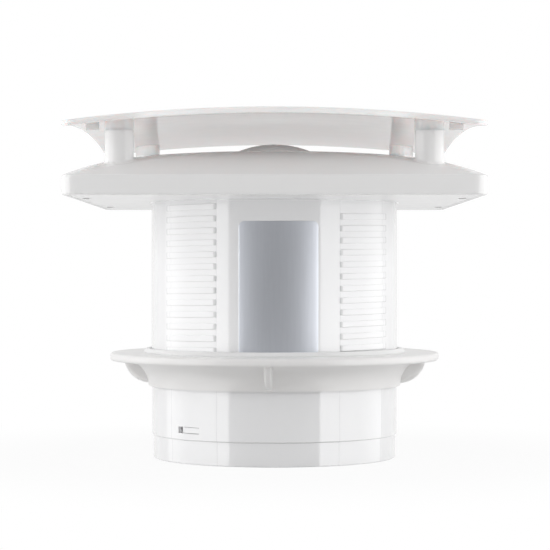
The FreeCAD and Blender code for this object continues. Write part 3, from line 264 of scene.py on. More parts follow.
# %% [markdown]
# ## The duct's plastic and its parting lines
#
# The duct has its mould's full polish, which is a clear coat here. The tube comes out of a mould whose side
# jaws meet at the two ends of the thread bars, and each meeting leaves a hairline from the back plate down
# to the seam. A line that thin is a matter for the finish, not for the mesh: the angle of a place round the
# axis comes from its X and Y, and near the line's angle the surface dips and the colour darkens a little.
# The dip is the hairline itself. The darkening is painted shade, standing in for the shadow that the hairline
# catches.
# The photographed tube stands a hair askew in its square head, so the lines, the bars, the slots and the
# label are all laid with the same small turn.

# %% Duct finish
TUBE_TURN = 1.9
INNER_PARTING = math.radians(28.6)
OUTER_PARTING = math.radians(56.5)
PARTING_FADE = 0.0036
PARTING_PAINTED_SHADE = (0.74, 0.74, 0.76, 1)
PARTING_PAINTED_SHADE_WEIGHT = 0.6

duct_white = moulded_white("duct_white", (0.905, 0.905, 0.912, 1), (0.89, 0.89, 0.897, 1), 0.1,
                           Coat_Weight=0.9, Coat_Roughness=0.02)
duct_place = duct_white.place()
sideways = duct_white.axis(duct_place, "X")
towards = 0.0 - duct_white.axis(duct_place, "Y")
angle_from_front = abs(sideways.math("ARCTAN2", sideways, towards) - math.radians(TUBE_TURN))
between = (INNER_PARTING + OUTER_PARTING) / 2
off_the_line = abs(abs(angle_from_front - between) - (OUTER_PARTING - INNER_PARTING) / 2)
parting_dip_and_painted_shade = duct_white.ramp(off_the_line, 0.0, PARTING_FADE, 1.0, 0.0)
# Painted shade: the colour is darkened along each hairline in place of its shadow. The same mask also dips
# the surface in the bump below.
duct_white.set("Base Color", duct_white.mix(parting_dip_and_painted_shade * PARTING_PAINTED_SHADE_WEIGHT, duct_white.colour, PARTING_PAINTED_SHADE))
duct_white.bump(duct_white.ripple * RIPPLE_STRENGTH - parting_dip_and_painted_shade, 1.0, RIPPLE_HEIGHT)
print("parting lines from the front:", [round(math.degrees(a), 1) for a in (INNER_PARTING, OUTER_PARTING)])

# %% [markdown]
# ## Label film and the metals inside
#
# The label is a blank silvery film. It has no colour of its own to speak of: what makes it dark in the
# middle and bright at its edges is the room that it mirrors. Fine brushing along its length softens that
# mirror. The motor inside is plated sheet, laminated steel, bronze and copper.

# %% Film and metal finishes
BRUSHED_SPREAD = 0.12


def brushed_metal(name, pale, deep, gloss, stretch):
    """Metal with fine brushing: noise squeezed along one or two directions."""
    finish = Finish(name, Metallic=1.0)
    sockets = {"Vector": finish.place(), "Scale": stretch}
    grain = finish.noise(1.0, 3.0, finish.node("ShaderNodeMapping", {}, sockets, "Vector"))
    finish.set("Base Color", finish.mix(grain, pale, deep))
    finish.set("Roughness", grain * BRUSHED_SPREAD + gloss)
    return finish


label_film = brushed_metal(
    "label_film", (0.76, 0.785, 0.84, 1), (0.7, 0.725, 0.78, 1), 0.36, (900, 900, 60))
bright_steel = brushed_metal(
    "bright_steel", (0.62, 0.62, 0.63, 1), (0.5, 0.5, 0.51, 1), 0.2, (500, 500, 500))
plated_can = brushed_metal(
    "plated_can", (0.7, 0.7, 0.68, 1), (0.6, 0.6, 0.58, 1), 0.28, (300, 300, 1500))
core_steel = brushed_metal(
    "core_steel", (0.3, 0.3, 0.31, 1), (0.2, 0.2, 0.21, 1), 0.4, (40, 40, 2500))
winding_copper = brushed_metal(
    "winding_copper", (0.75, 0.33, 0.16, 1), (0.5, 0.2, 0.1, 1), 0.3, (900, 900, 900))
bearing_bronze = brushed_metal(
    "bearing_bronze", (0.6, 0.4, 0.2, 1), (0.5, 0.33, 0.17, 1), 0.35, (700, 700, 700))
print("metals:", label_film.material.name, bright_steel.material.name, plated_can.material.name)

# %% [markdown]
# ## Rubber and lead sleeves
#
# The grommet is soft black rubber, the leads have coloured sleeves, and the terminal block is a plain
# cream plastic. They are small and half hidden, so an uneven colour and an uneven dullness are enough.

# %% Dull finishes
DULL_CLOUD_SCALE = 60.0
DULL_GRAIN_SCALE = 200.0
DULL_SPREAD = 0.1


def dull_plastic(name, pale, deep, gloss):
    finish = Finish(name)
    finish.set("Base Color", finish.mix(finish.noise(DULL_CLOUD_SCALE), pale, deep))
    finish.set("Roughness", finish.noise(DULL_GRAIN_SCALE) * DULL_SPREAD + gloss)
    return finish


grommet_rubber = dull_plastic("grommet_rubber", (0.05, 0.05, 0.05, 1), (0.03, 0.03, 0.03, 1), 0.6)
live_sleeve = dull_plastic("live_sleeve", (0.2, 0.09, 0.04, 1), (0.16, 0.07, 0.03, 1), 0.4)
neutral_sleeve = dull_plastic("neutral_sleeve", (0.03, 0.12, 0.4, 1), (0.02, 0.1, 0.33, 1), 0.4)
terminal_plastic = dull_plastic("terminal_plastic", (0.8, 0.8, 0.77, 1), (0.75, 0.75, 0.72, 1), 0.4)
print("dull:", grommet_rubber.material.name, live_sleeve.material.name, terminal_plastic.material.name)

# %% [markdown]
# ## Finishes for the CAD's own meshes
#
# The CAD record names a material slot for each node, and each slot has one finish here. The panel shares
# its slot with the other white mouldings but not their finish, because it alone lets light through.

# %% Dress the CAD nodes
SLOT_FINISHES = {
    "white_plastic": cover_white, "washer_plastic": ring_white, "flap_plastic": soft_white,
    "label_film": label_film, "bright_steel": bright_steel, "plated_can": plated_can,
    "core_steel": core_steel, "winding_copper": winding_copper, "bearing_bronze": bearing_bronze,
    "terminal_plastic": terminal_plastic, "grommet_rubber": grommet_rubber,
    "live_sleeve": live_sleeve, "neutral_sleeve": neutral_sleeve,
}
slot_of = {entry["node"]: entry["material_slot"] for entry in frame["record"]["subparts"]}
for name, node in nodes.items():
    node.data.materials.clear()
    node.data.materials.append(SLOT_FINISHES[slot_of[name]].material)
nodes["front_panel"].data.materials[0] = panel_white.material
print("finishes on", len(nodes), "CAD nodes")

# %% [markdown]
# ## Hand tools: outlines
#
# The shells of this fan are turned shapes, so one drawing tool does most of the work: a plane is merged to
# a single point, and the point is extruded from corner to corner of a section. Corners become arcs before
# they are drawn, because a sharp edge catches no light. Sizes in these cells are millimetres, as on a
# drawing.

# %% Outlines
MM = 0.001
ARC_STEPS = 5
MERGE_DISTANCE = 1e-6


def arc(start, stop, radius, side, steps):
    """Points between start and stop on an arc. Its centre is on the left for side 1, the right for -1."""
    start = Vector(start)
    stop = Vector(stop)
    run = stop - start
    normal = Vector((-run.y, run.x)).normalized() * side
    centre = (start + stop) / 2 + normal * math.sqrt(radius ** 2 - run.length_squared / 4)
    first = (start - centre).normalized()
    last = (stop - centre).normalized()
    return [tuple(centre + first.slerp(last, step / steps) * radius) for step in range(1, steps)]


def rounded(corners):
    """Points of a closed outline. A corner is (radius, height), with a third number if it is rounded."""
    points = []
    for index, corner in enumerate(corners):
        if len(corner) == 2:
            points.append(corner)
            continue
        here = Vector(corner[:2])
        back = (Vector(corners[index - 1][:2]) - here).normalized()
        ahead = (Vector(corners[(index + 1) % len(corners)][:2]) - here).normalized()
        half = back.angle(ahead) / 2
        reach = corner[2] / math.tan(half)
        centre = here + (back + ahead).normalized() * corner[2] / math.sin(half)
        first = (here + back * reach - centre).normalized()
        last = (here + ahead * reach - centre).normalized()
        for step in range(ARC_STEPS + 1):
            points.append(tuple(centre + first.slerp(last, step / ARC_STEPS) * corner[2]))
    return points


def begin():
    """Leaves edit mode and lets go of everything, so that the next operator acts on its own piece."""
    if bpy.context.object is not None and bpy.context.object.mode != "OBJECT":
        bpy.ops.object.mode_set(mode="OBJECT")
    bpy.ops.object.select_all(action="DESELECT")


def drawn(name, outline):
    """Draws a closed line through (radius, height) points in the plane y = 0 and stays in edit mode."""
    begin()
    bpy.ops.mesh.primitive_plane_add(size=MM, enter_editmode=True)
    bpy.ops.mesh.merge(type="CENTER")
    bpy.ops.transform.translate(value=(outline[0][0] * MM, 0, outline[0][1] * MM))
    for here, there in zip(outline, outline[1:] + outline[:1]):
        step = ((there[0] - here[0]) * MM, 0, (there[1] - here[1]) * MM)
        bpy.ops.mesh.extrude_vertices_move(TRANSFORM_OT_translate={"value": step})
    bpy.ops.mesh.select_all(action="SELECT")
    bpy.ops.mesh.remove_doubles(threshold=MERGE_DISTANCE)
    piece = bpy.context.object
    piece.name = name
    return piece


print("outlines have", ARC_STEPS, "steps in each rounded corner")

# %% [markdown]
# ## Hand tools: turning, sweeping and joining
#
# A closed outline becomes a shell when it is spun all the way round the duct's axis, and a bar or a lug
# when it is filled and spun through a few degrees. The other tools move, copy, cut and join pieces.

# %% Turning, sweeping and joining
TURN_STEPS = 180


def take(piece):
    begin()
    piece.select_set(True)
    bpy.context.view_layer.objects.active = piece


def close_mesh():
    """Merges the seam, points every face outwards and leaves edit mode."""
    bpy.ops.mesh.select_all(action="SELECT")
    bpy.ops.mesh.remove_doubles(threshold=MERGE_DISTANCE)
    bpy.ops.mesh.normals_make_consistent(inside=False)
    bpy.ops.object.mode_set(mode="OBJECT")


def lay(piece, turn=0.0, tilt=0.0, lift=0.0):
    """Tilts a piece about X, turns it about Z, lifts it, and puts all that into its mesh."""
    take(piece)
    piece.rotation_euler = (math.radians(tilt), 0.0, math.radians(turn))
    piece.location.z = lift * MM
    bpy.ops.object.transform_apply(location=True, rotation=True, scale=False)


def turned(name, outline):
    """Spins an outline all the way round the duct's axis."""
    piece = drawn(name, outline)
    bpy.ops.mesh.spin(steps=TURN_STEPS, angle=2 * math.pi, center=(0, 0, 0), axis=(0, 0, 1))
    close_mesh()
    return piece


def sector(name, outline, span, steps):
    """Fills an outline and spins it through a span in degrees, with its middle at +X."""
    piece = drawn(name, outline)
    bpy.ops.mesh.edge_face_add()
    bpy.ops.mesh.spin(steps=steps, angle=math.radians(span), center=(0, 0, 0), axis=(0, 0, -1))
    close_mesh()
    lay(piece, turn=-span / 2)
    return piece


def copied(piece):
    take(piece)
    bpy.ops.object.duplicate()
    return bpy.context.object


def modified(piece, kind, **settings):
    """Adds one modifier and applies it."""
    take(piece)
    modifier = piece.modifiers.new(kind.lower(), kind)
    for name, value in settings.items():
        setattr(modifier, name, value)
    bpy.ops.object.modifier_apply(modifier=modifier.name)


def cut(piece, cutter):
    modified(piece, "BOOLEAN", operation="DIFFERENCE", solver="EXACT", object=cutter)
    bpy.data.objects.remove(cutter)


def joined(piece, others):
    take(piece)
    for other in others:
        other.select_set(True)
    bpy.ops.object.join()


print("a full turn has", TURN_STEPS, "steps")

# %% [markdown]
# ## Handing a piece over
#
# A finished piece is shaded smooth except at its sharp edges, gets its finish, and takes the place of the
# CAD node that it remodels, which is hidden. It hangs from an empty named for that node's body.

# %% Dressing
SMOOTH_ANGLE = math.radians(38)


def dressed(piece, finish, body, node):
    """Smooths a piece, gives it its finish, and lets it stand for a CAD node on a moving body."""
    take(piece)
    bpy.ops.object.shade_smooth_by_angle(angle=SMOOTH_ANGLE)
    modified(piece, "WEIGHTED_NORMAL", keep_sharp=True)
    piece.data.materials.clear()
    piece.data.materials.append(finish.material)
    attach(piece, body)
    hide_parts(node)
    low = [round(min(v.co[axis] for v in piece.data.vertices) / MM, 2) for axis in range(3)]
    high = [round(max(v.co[axis] for v in piece.data.vertices) / MM, 2) for axis in range(3)]
    print(piece.name, len(piece.data.polygons), "faces", low, high)


print("edges sharper than", round(math.degrees(SMOOTH_ANGLE)), "degrees stay sharp")

# %% [markdown]
# ## The duct tube
#
# The tube is one turned section: a slightly thinner lower end, the long threaded stretch, and a flange
# hidden inside the cover. It could be a cylinder with edge loops, but a drawn section keeps the taper, the
# flange and every rounded rim in one list. Two latch slots are then cut through its lower end with swept
# cutters.

# %% Tube and latch slots
TUBE_RADIUS = 49.0
TUBE_BORE = 47.0
LOWER_RADIUS = 48.75
LOWER_TOP = 30.0
TAPER_TOP = 33.0
TAPER_ROUND = 4.0
COLLAR_RADIUS = 49.7
FLANGE_THICKNESS = 2.0
FOOT_BORE_ROUND = 0.4
FOOT_ROUND = 0.35
TUBE_RIM_ROUND = 0.3
SLOT_ANGLES = (225.5, 45.5)
SLOT_SPAN = 13.0
SLOT_STEPS = 13
SLOT_LOW = 11.8
SLOT_HIGH = 14.3
CUTTER_MARGIN = 2.0

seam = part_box("duct_housing")[0].z / MM
tube_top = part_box("duct_housing")[1].z / MM
flange_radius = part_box("duct_housing")[1].x / MM
wall_face, plate_top = (corner.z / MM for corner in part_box("back_plate"))
flange_top = plate_top + FLANGE_THICKNESS

duct = turned("duct_shell", rounded([
    (TUBE_BORE, seam, FOOT_BORE_ROUND), (LOWER_RADIUS, seam, FOOT_ROUND),
    (LOWER_RADIUS, LOWER_TOP, TAPER_ROUND), (TUBE_RADIUS, TAPER_TOP, TAPER_ROUND),
    (TUBE_RADIUS, wall_face), (COLLAR_RADIUS, wall_face), (COLLAR_RADIUS, plate_top),
    (flange_radius, plate_top, TUBE_RIM_ROUND), (flange_radius, flange_top, TUBE_RIM_ROUND),
    (TUBE_RADIUS, flange_top), (TUBE_RADIUS, tube_top, TUBE_RIM_ROUND),
    (TUBE_BORE, tube_top, TUBE_RIM_ROUND)]))
for slot_angle in SLOT_ANGLES:
    cutter = sector("slot_cutter", [
        (TUBE_BORE - CUTTER_MARGIN, SLOT_LOW), (TUBE_RADIUS + CUTTER_MARGIN, SLOT_LOW),
        (TUBE_RADIUS + CUTTER_MARGIN, SLOT_HIGH), (TUBE_BORE - CUTTER_MARGIN, SLOT_HIGH)],
        SLOT_SPAN, SLOT_STEPS)
    lay(cutter, turn=slot_angle + TUBE_TURN)
    cut(duct, cutter)
print("tube with slots:", len(duct.data.polygons), "faces")

# %% [markdown]
# ## One bar of the thread
#
# Four sectors of raised bars make a screw thread with gaps, so that the clamp ring can be slipped along
# the tube and then turned tight. One bar is swept from a softly edged section. Both its ends are sloped by
# pulling the crest points of the last step down to the tube, and the whole bar is tilted to the thread's
# slope. The bar lies across +X, so one small move along X takes both ends inwards.

# %% Thread bar
BAR_CREST = 49.5
BAR_ROOT = 48.5
BAR_HALF_WIDTH = 1.12
BAR_ROUND = 0.2
BAR_SPAN = 31.4
BAR_STEPS = 40
BAR_END = 0.5
CREST_MARGIN = 0.05
THREAD_PITCH = 4.55
THREAD_TILT = math.degrees(math.atan2(THREAD_PITCH, 2 * math.pi * TUBE_RADIUS))

bar = sector("thread_bars", rounded([
    (BAR_ROOT, -BAR_HALF_WIDTH), (BAR_CREST, -BAR_HALF_WIDTH, BAR_ROUND),
    (BAR_CREST, BAR_HALF_WIDTH, BAR_ROUND), (BAR_ROOT, BAR_HALF_WIDTH)]), BAR_SPAN, BAR_STEPS)
end_angle = math.radians(BAR_SPAN / 2 - BAR_END)
take(bar)
bpy.ops.object.mode_set(mode="EDIT")
bpy.ops.mesh.select_mode(type="VERT")
bpy.ops.mesh.select_all(action="DESELECT")
bpy.ops.object.mode_set(mode="OBJECT")
for vertex in bar.data.vertices:
    at_end = abs(math.atan2(vertex.co.y, vertex.co.x)) > end_angle
    vertex.select = at_end and math.hypot(vertex.co.x, vertex.co.y) > (TUBE_RADIUS + CREST_MARGIN) * MM
bpy.ops.object.mode_set(mode="EDIT")
bpy.ops.transform.translate(value=((TUBE_RADIUS - BAR_CREST) * MM, 0, 0))
bpy.ops.object.mode_set(mode="OBJECT")
lay(bar, tilt=THREAD_TILT)
print("one bar:", len(bar.data.polygons), "faces, tilted", round(THREAD_TILT, 2), "degrees")

# %% [markdown]
# ## The interrupted thread
#
# In each sector an Array modifier stacks copies of the bar at the thread's pitch. Each sector sits a little
# lower or higher than its neighbours, because a screw rises all the way round, and the sector where a new
# turn would begin starts a whole turn lower and has one bar less.

# %% Thread sectors
BAR_COUNT = 15
SECTOR_ANGLE = 44.3
TOP_BAR_DROP = 1.6

sector_angles = [270 + SECTOR_ANGLE, 90 - SECTOR_ANGLE, 90 + SECTOR_ANGLE, 270 - SECTOR_ANGLE]
first_angle = sector_angles[0]


def top_bar(sector_angle):
    """Height of the middle of a sector's topmost bar."""
    turns = (sector_angle - first_angle) / 360
    turns_down = math.floor(turns) + 1 - turns
    return wall_face - TOP_BAR_DROP - turns_down * THREAD_PITCH


stacks = []
for sector_angle in sector_angles:
    stack = copied(bar)
    bar_count = BAR_COUNT - 1 if sector_angle == first_angle else BAR_COUNT
    modified(stack, "ARRAY", count=bar_count, use_relative_offset=False,
             use_constant_offset=True, constant_offset_displace=(0, 0, -THREAD_PITCH * MM))
    lay(stack, turn=sector_angle + TUBE_TURN, lift=top_bar(sector_angle))
    stacks.append(stack)
bpy.data.objects.remove(bar)
joined(duct, stacks)
dressed(duct, duct_white, "housing", "duct_housing")

# %% [markdown]
# ## The clamp ring
#
# The ring is a rim on a trumpet neck. The neck's hollow curve is an arc that leaves the lip upright and
# runs out nearly flat under the rim, and the rim's edge is fully rounded.

# %% Clamp ring
RING_BORE = 49.7
NECK_LIP = 50.2
NECK_RADIUS = 57.5
NECK_CURVE = 10.4
NECK_STEPS = 18
LIP_ROUND = 0.2
RIM_THICKNESS = 3.2
RIM_EDGE_ROUND = 1.2
RIM_BORE_ROUND = 0.3

neck_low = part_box("clamp_ring")[0].z / MM
ring_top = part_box("clamp_ring")[1].z / MM
ring_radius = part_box("clamp_ring")[1].x / MM
ring_low = ring_top - RIM_THICKNESS
neck = arc((NECK_LIP, neck_low), (NECK_RADIUS, ring_low), NECK_CURVE, -1, NECK_STEPS)
ring = turned("clamp_ring_shell", rounded([
    (RING_BORE, neck_low, LIP_ROUND), (NECK_LIP, neck_low)] + neck + [
    (NECK_RADIUS, ring_low), (ring_radius, ring_low, RIM_EDGE_ROUND),
    (ring_radius, ring_top, RIM_EDGE_ROUND), (RING_BORE, ring_top, RIM_BORE_ROUND)]))
print("rim and neck:", len(ring.data.polygons), "faces")

# %% [markdown]
# ## Gussets
#
# Four quarter-round gussets hold the rim to the neck. A gusset is drawn flat, filled, and extruded sideways
# in steps that grow to its full size and shrink again, which gives it a rounded edge. Each step is resized
# about the hidden corner at the root. Then the gusset is copied round.

# %% Gussets
GUSSET_INSIDE = 49.95
GUSSET_OUTSIDE = 60.2
GUSSET_RISE = 0.7
GUSSET_CURVE = 10.6
GUSSET_STEPS = 14
GUSSET_SUNK = 1.4
GUSSET_COUNT = 4
GUSSET_TURN = -2.4
GUSSET_LAYERS = ((-1.55, 0.8), (-1.3, 0.92), (-0.95, 0.98), (-0.45, 1.0),
                 (0.45, 1.0), (0.95, 0.98), (1.3, 0.92), (1.55, 0.8))

gusset_root = (GUSSET_INSIDE, ring_low + GUSSET_SUNK)
gusset_foot = (GUSSET_INSIDE, neck_low + GUSSET_RISE)
gusset_stop = (GUSSET_OUTSIDE, ring_low)
gusset_curve = arc(gusset_foot, gusset_stop, GUSSET_CURVE, 1, GUSSET_STEPS)
gusset = drawn("gusset", [gusset_foot] + gusset_curve + [
    gusset_stop, (GUSSET_OUTSIDE, ring_low + GUSSET_SUNK), gusset_root])
bpy.ops.mesh.edge_face_add()
place_now = GUSSET_LAYERS[0][0]
size_now = 1.0
bpy.ops.transform.translate(value=(0, place_now * MM, 0))
for place, size in GUSSET_LAYERS:
    if place != place_now:
        step = (0, (place - place_now) * MM, 0)
        bpy.ops.mesh.extrude_region_move(TRANSFORM_OT_translate={"value": step})
    change = size / size_now
    bpy.ops.transform.resize(value=(change, 1, change),
                             center_override=(gusset_root[0] * MM, 0, gusset_root[1] * MM))
    place_now = place
    size_now = size
close_mesh()
gussets = [gusset] + [copied(gusset) for _ in range(GUSSET_COUNT - 1)]
for number, one in enumerate(gussets):
    lay(one, turn=number * 360 / GUSSET_COUNT + GUSSET_TURN)
print(len(gussets), "gussets with", len(gusset.data.polygons), "faces each")

# %% [markdown]
# ## Lugs
#
# Inside the ring four lugs run in the grooves between the bars. They are swept like the bars, and each is
# set half a pitch below a bar of its sector, in the groove that lies nearest to the ring's middle.

# %% Thread lugs
LUG_BORE = 49.25
LUG_HALF_WIDTH = 0.75
LUG_ROUND = 0.15
LUG_SUNK = 0.2
LUG_SPAN = 30.0
LUG_STEPS = 16

ring_middle = (neck_low + ring_top) / 2
lugs = []
for sector_angle in sector_angles:
    groove = top_bar(sector_angle) - THREAD_PITCH / 2
    grooves_down = round((groove - ring_middle) / THREAD_PITCH)
    lug = sector("thread_lug", rounded([
        (LUG_BORE, -LUG_HALF_WIDTH, LUG_ROUND), (RING_BORE + LUG_SUNK, -LUG_HALF_WIDTH),
        (RING_BORE + LUG_SUNK, LUG_HALF_WIDTH), (LUG_BORE, LUG_HALF_WIDTH, LUG_ROUND)]),
        LUG_SPAN, LUG_STEPS)
    lay(lug, tilt=THREAD_TILT)
    lay(lug, turn=sector_angle, lift=groove - grooves_down * THREAD_PITCH)
    lugs.append(lug)
joined(ring, gussets + lugs)
dressed(ring, ring_white, "clamp_ring", "clamp_ring")

# %% [markdown]
# ## The clamp washer
#
# A flat washer lies on the ring, so that the wall isn't scuffed when the ring turns under it. It is one
# small turned section that slopes back towards its top.

# %% Clamp washer
WASHER_SEAT = 0.02
WASHER_EDGE = 0.4
WASHER_EDGE_ROUND = 0.15
WASHER_SLOPE = 0.9
WASHER_TOP_ROUND = 0.5
WASHER_BORE_ROUND = 0.3

washer_low = ring_top + WASHER_SEAT
washer_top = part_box("clamp_washer")[1].z / MM
washer_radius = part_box("clamp_washer")[1].x / MM
washer = turned("clamp_washer_shell", rounded([
    (RING_BORE, washer_low), (washer_radius, washer_low),
    (washer_radius, washer_low + WASHER_EDGE, WASHER_EDGE_ROUND),
    (washer_radius - WASHER_SLOPE, washer_top, WASHER_TOP_ROUND),
    (RING_BORE, washer_top, WASHER_BORE_ROUND)]))
dressed(washer, soft_white, "clamp_washer", "clamp_washer")

# %% [markdown]
# ## The label
#
# The label follows the tube's small turn. The CAD film already has the right curve and round corners, so
# a copy of it is merged into one skin and turned about the axis, and the CAD film is put away.

# %% Label
label = copied(nodes["rating_label"])
label.name = "label_shell"
label.rotation_mode = "XYZ"
take(label)
bpy.ops.object.mode_set(mode="EDIT")
close_mesh()
lay(label, turn=TUBE_TURN)
dressed(label, label_film, "housing", "rating_label")

# %% [markdown]
# ## The outlet sleeve
#
# The short ring below the seam is the foot of a sleeve that reaches up inside the tube, carries the hinge
# pin of the flaps and ends in the valve's seat. It is turned in one section, the pin's holes are cut with
# a cylinder, and the two latch lugs that show in the tube's slots are swept on.

# %% Outlet sleeve
OUTLET_FACE = 0.0
OUTLET_BORE_ROUND = 0.4
OUTLET_ROUND = 0.5
SEAM_ROUND = 0.25
SLEEVE_BORE = 45.0
SLEEVE_RADIUS = 46.8
SEAT_BORE = 42.5
SEAT_THICKNESS = 1.5
SEAT_ROUND = 0.3
SEAT_LOW_ROUND = 0.2
PIN_HOLE_RADIUS = 1.52
PIN_HOLE_SIDES = 48

outlet_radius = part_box("outlet_sleeve")[1].x / MM
seat_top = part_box("outlet_sleeve")[1].z / MM
seat_low = seat_top - SEAT_THICKNESS
pin_low, pin_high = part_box("flap_pin")
sleeve = turned("outlet_shell", rounded([
    (SLEEVE_BORE, OUTLET_FACE, OUTLET_BORE_ROUND), (outlet_radius, OUTLET_FACE, OUTLET_ROUND),
    (outlet_radius, seam, SEAM_ROUND), (SLEEVE_RADIUS, seam), (SLEEVE_RADIUS, seat_top, SEAT_ROUND),
    (SEAT_BORE, seat_top, SEAT_ROUND), (SEAT_BORE, seat_low, SEAT_LOW_ROUND), (SLEEVE_BORE, seat_low)]))
begin()
bpy.ops.mesh.primitive_cylinder_add(
    vertices=PIN_HOLE_SIDES, radius=PIN_HOLE_RADIUS * MM, depth=4 * outlet_radius * MM,
    location=(0, 0, (pin_low.z + pin_high.z) / 2), rotation=(math.pi / 2, 0, 0))
cut(sleeve, bpy.context.object)
print("sleeve with pin holes:", len(sleeve.data.polygons), "faces")

# %% [markdown]
# ## Latches
#
# A lug of the sleeve sits in each of the tube's two slots and fills all but one end of it. The free end is
# the small dark mark at the left of the slot in the photograph.

# %% Latch lugs
LATCH_RADIUS = 48.6
LATCH_SPAN = 9.8
LATCH_STEPS = 9
LATCH_SHIFT = 1.45
LATCH_GAP = 0.1
LATCH_ROUND = 0.3
LATCH_SUNK = 0.5

latch_root = SLEEVE_RADIUS - LATCH_SUNK
latch_low = SLOT_LOW + LATCH_GAP
latch_high = SLOT_HIGH - LATCH_GAP
latches = []
for slot_angle in SLOT_ANGLES:
    latch = sector("latch_lug", rounded([
        (latch_root, latch_low), (LATCH_RADIUS, latch_low, LATCH_ROUND),
        (LATCH_RADIUS, latch_high, LATCH_ROUND), (latch_root, latch_high)]), LATCH_SPAN, LATCH_STEPS)
    lay(latch, turn=slot_angle + TUBE_TURN + LATCH_SHIFT)
    latches.append(latch)
joined(sleeve, latches)
dressed(sleeve, duct_white, "housing", "outlet_sleeve")

# %% [markdown]
# ## Softboxes
#
# Two tall softboxes stand to the left and the right, and little light comes from the camera's side. On a
# glossy tube each softbox draws a bright stripe with a crisp edge. A stripe runs from where the tube has
# turned 21 degrees from the camera to where it has turned 58, and mirroring the camera's line of sight at
# those two places gives the near and the far edge of the box. The cloth is brightest at its near edge.

# %% Softboxes
BOX_NEAR_EDGE = (0.322, -0.377)
BOX_FAR_EDGE = (0.432, 0.199)
BOX_LOW = -0.45
BOX_HIGH = 0.35
NEAR_RADIANCE = 2.4
FAR_RADIANCE = 0.7


def softbox(name, side):
    """A box on the right for side 1 and on the left for -1. Its cloth fades from the near to the far edge."""
    near = Vector((side * BOX_NEAR_EDGE[0], BOX_NEAR_EDGE[1], BOX_LOW))
    far = Vector((side * BOX_FAR_EDGE[0], BOX_FAR_EDGE[1], BOX_HIGH))
    across = Vector((far.x - near.x, far.y - near.y, 0.0))
    lamp = bpy.data.lights.new(name, "AREA")
    lamp.shape = "RECTANGLE"
    lamp.size = across.length
    lamp.size_y = BOX_HIGH - BOX_LOW
    lamp.energy = math.pi * lamp.size * lamp.size_y
    lamp.use_nodes = True
    cloth = Graph(lamp.node_tree)
    along = cloth.axis(cloth.node("ShaderNodeNewGeometry", {}, {}, "Parametric"), "X")
    near_end = 0.0 if side > 0 else 1.0
    cloth.fill(cloth.nodes["Emission"].inputs["Strength"],
               cloth.ramp(along, near_end, 1.0 - near_end, NEAR_RADIANCE, FAR_RADIANCE))
    box = bpy.data.objects.new(name, lamp)
    box.location = (near + far) / 2
    inward = Vector((-across.y, across.x, 0.0)) * side
    box.rotation_euler = inward.to_track_quat("-Z", "Y").to_euler()
    bpy.context.scene.collection.objects.link(box)
    print(name, round(lamp.size, 2), "m wide,", round(lamp.energy, 2), "W for a radiance of one")


softbox("softbox_left", -1)
softbox("softbox_right", 1)

# %% [markdown]
# ## Shuttered lamp
#
# The gap under the panel faces the camera and neither softbox. A small lamp in front, level with the gap,
# shines into it alone. Its shutters are ramps on the direction of each ray. Sideways they let the light
# pass between the two front posts, and upright between the cover's skirt and the panel's rim.

# %% Gap light
GAP_LAMP_PLACE = (0.0, -0.65, 0.121)
GAP_LAMP_RADIUS = 0.004
GAP_LAMP_WATTS = 9.0
SIDE_SHUTTERS = (0.0855, 0.0875)
EDGE_SHUTTERS = (0.005, 0.020)

gap_light = bpy.data.lights.new("gap_lamp", "POINT")
gap_light.energy = GAP_LAMP_WATTS
gap_light.shadow_soft_size = GAP_LAMP_RADIUS
gap_light.use_nodes = True
shutters = Graph(gap_light.node_tree)
ray_direction = shutters.node("ShaderNodeTexCoord", {}, {}, "Normal")
off_centre = abs(shutters.axis(ray_direction, "X"))
off_level = abs(shutters.axis(ray_direction, "Z"))
shutters.fill(shutters.nodes["Emission"].inputs["Strength"],
              shutters.ramp(off_centre, *SIDE_SHUTTERS, 1.0, 0.0)
              * shutters.ramp(off_level, *EDGE_SHUTTERS, 1.0, 0.0))
gap_lamp = bpy.data.objects.new("gap_lamp", gap_light)
gap_lamp.location = GAP_LAMP_PLACE
gap_lamp.visible_glossy = False
bpy.context.scene.collection.objects.link(gap_lamp)
print("gap lamp", GAP_LAMP_WATTS, "W")

# %% [markdown]
# ## Floor
#
# The floor is a pale surface that takes the light and the fan's shadow. For the camera most of its
# brightness is painted on, so that it melts into the white backdrop and only the shadow close to the fan
# is left. Further out the painted share grows to the whole, which hides the horizon. Mirrors look through
# the floor to the backdrop and the softboxes, as they would over the edge of a small table. The floor has
# one side only, so that a look from below shows the outlet and its flaps.

# %% White floor
FLOOR_SIZE = 12.0
FLOOR_GAP = 0.0002
FLOOR_TONE = 0.66
FLOOR_CLOUD_SCALE = 3.0
FLOOR_SPREAD = 0.02
PAINTED_NEAR = 0.93
SHADOW_CORE = 0.08
SHADOW_REACH = 0.2
BLACK = (0, 0, 0, 1)
WHITE = (1, 1, 1, 1)

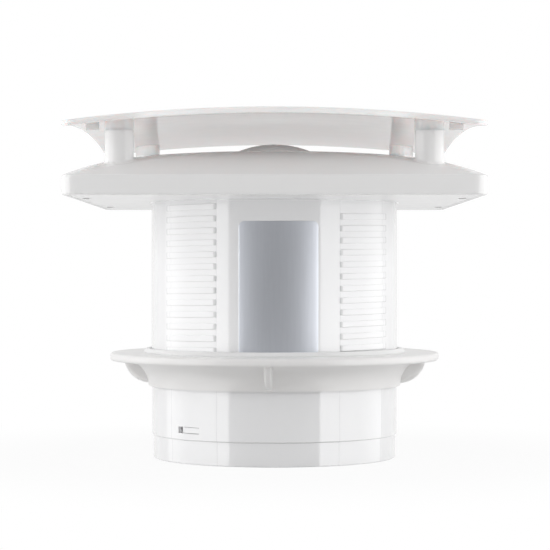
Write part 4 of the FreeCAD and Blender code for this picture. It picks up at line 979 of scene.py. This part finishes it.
floor_white = Finish("floor_white", Roughness=1.0, Specular_IOR_Level=0.0)
floor_tone = floor_white.noise(FLOOR_CLOUD_SCALE) * FLOOR_SPREAD + FLOOR_TONE
floor_white.set("Base Color", floor_white.mix(floor_tone, BLACK, WHITE))
floor_place = floor_white.place()
reach = floor_white.node("ShaderNodeVectorMath", {"operation": "LENGTH"}, {0: floor_place}, "Value")
painted = floor_white.ramp(reach, SHADOW_CORE, SHADOW_REACH, PAINTED_NEAR, 1.0)
looked_at = floor_white.ray("Is Camera Ray").larger(floor_white.ray("Is Transmission Ray"))
surface = Wire(floor_white, floor_white.shader.outputs["BSDF"])
glow = floor_white.node("ShaderNodeEmission", {}, {"Color": WHITE, "Strength": 1.0}, "Emission")
lit = floor_white.node("ShaderNodeMixShader", {}, {"Fac": looked_at * painted, 1: surface, 2: glow}, "Shader")
clear = floor_white.node("ShaderNodeBsdfTransparent", {}, {}, "BSDF")
from_below = floor_white.node("ShaderNodeNewGeometry", {}, {}, "Backfacing")
looked_through = floor_white.ray("Is Glossy Ray").larger(from_below)
whole = floor_white.node("ShaderNodeMixShader", {}, {"Fac": looked_through, 1: lit, 2: clear}, "Shader")
floor_white.fill(floor_white.nodes["Material Output"].inputs["Surface"], whole)

begin()
bpy.ops.mesh.primitive_plane_add(size=FLOOR_SIZE, location=(0, 0, cad_low[2] - FLOOR_GAP))
floor = bpy.context.object
floor.name = "studio_floor"
floor.data.materials.append(floor_white.material)
print("floor", FLOOR_SIZE, "m wide, shadow kept within", SHADOW_REACH, "m")

# %% [markdown]
# ## Backdrop
#
# Behind the fan hangs a white backdrop, and behind the camera the room is dark. Both are painted on the
# world by direction. The dark side is what the label and the front of the tube mirror. For the camera the
# backdrop is plain white whatever light it gives.

# %% World
BACK_LIGHT = 0.9
FRONT_LIGHT = 0.335
TOP_LIGHT = 0.66
BACKDROP_EDGE = (-0.1, 0.35)
CEILING_EDGE = (0.35, 0.8)

world = bpy.data.worlds.new("studio_world")
bpy.context.scene.world = world
world.use_nodes = True
sky = Graph(world.node_tree)
direction = sky.node("ShaderNodeTexCoord", {}, {}, "Generated")
behind = sky.ramp(sky.axis(direction, "Y"), *BACKDROP_EDGE)
overhead = sky.ramp(sky.axis(direction, "Z"), *CEILING_EDGE)
around = behind * (BACK_LIGHT - FRONT_LIGHT) + FRONT_LIGHT
room = around * (1.0 - overhead) + overhead * TOP_LIGHT
seen = sky.ray("Is Camera Ray")
sky.fill(sky.nodes["Background"].inputs["Color"], WHITE)
sky.fill(sky.nodes["Background"].inputs["Strength"], room * (1.0 - seen) + seen)
bpy.context.scene.view_settings.view_transform = "Standard"
print("backdrop gives", BACK_LIGHT, "and the room behind the camera", FRONT_LIGHT)
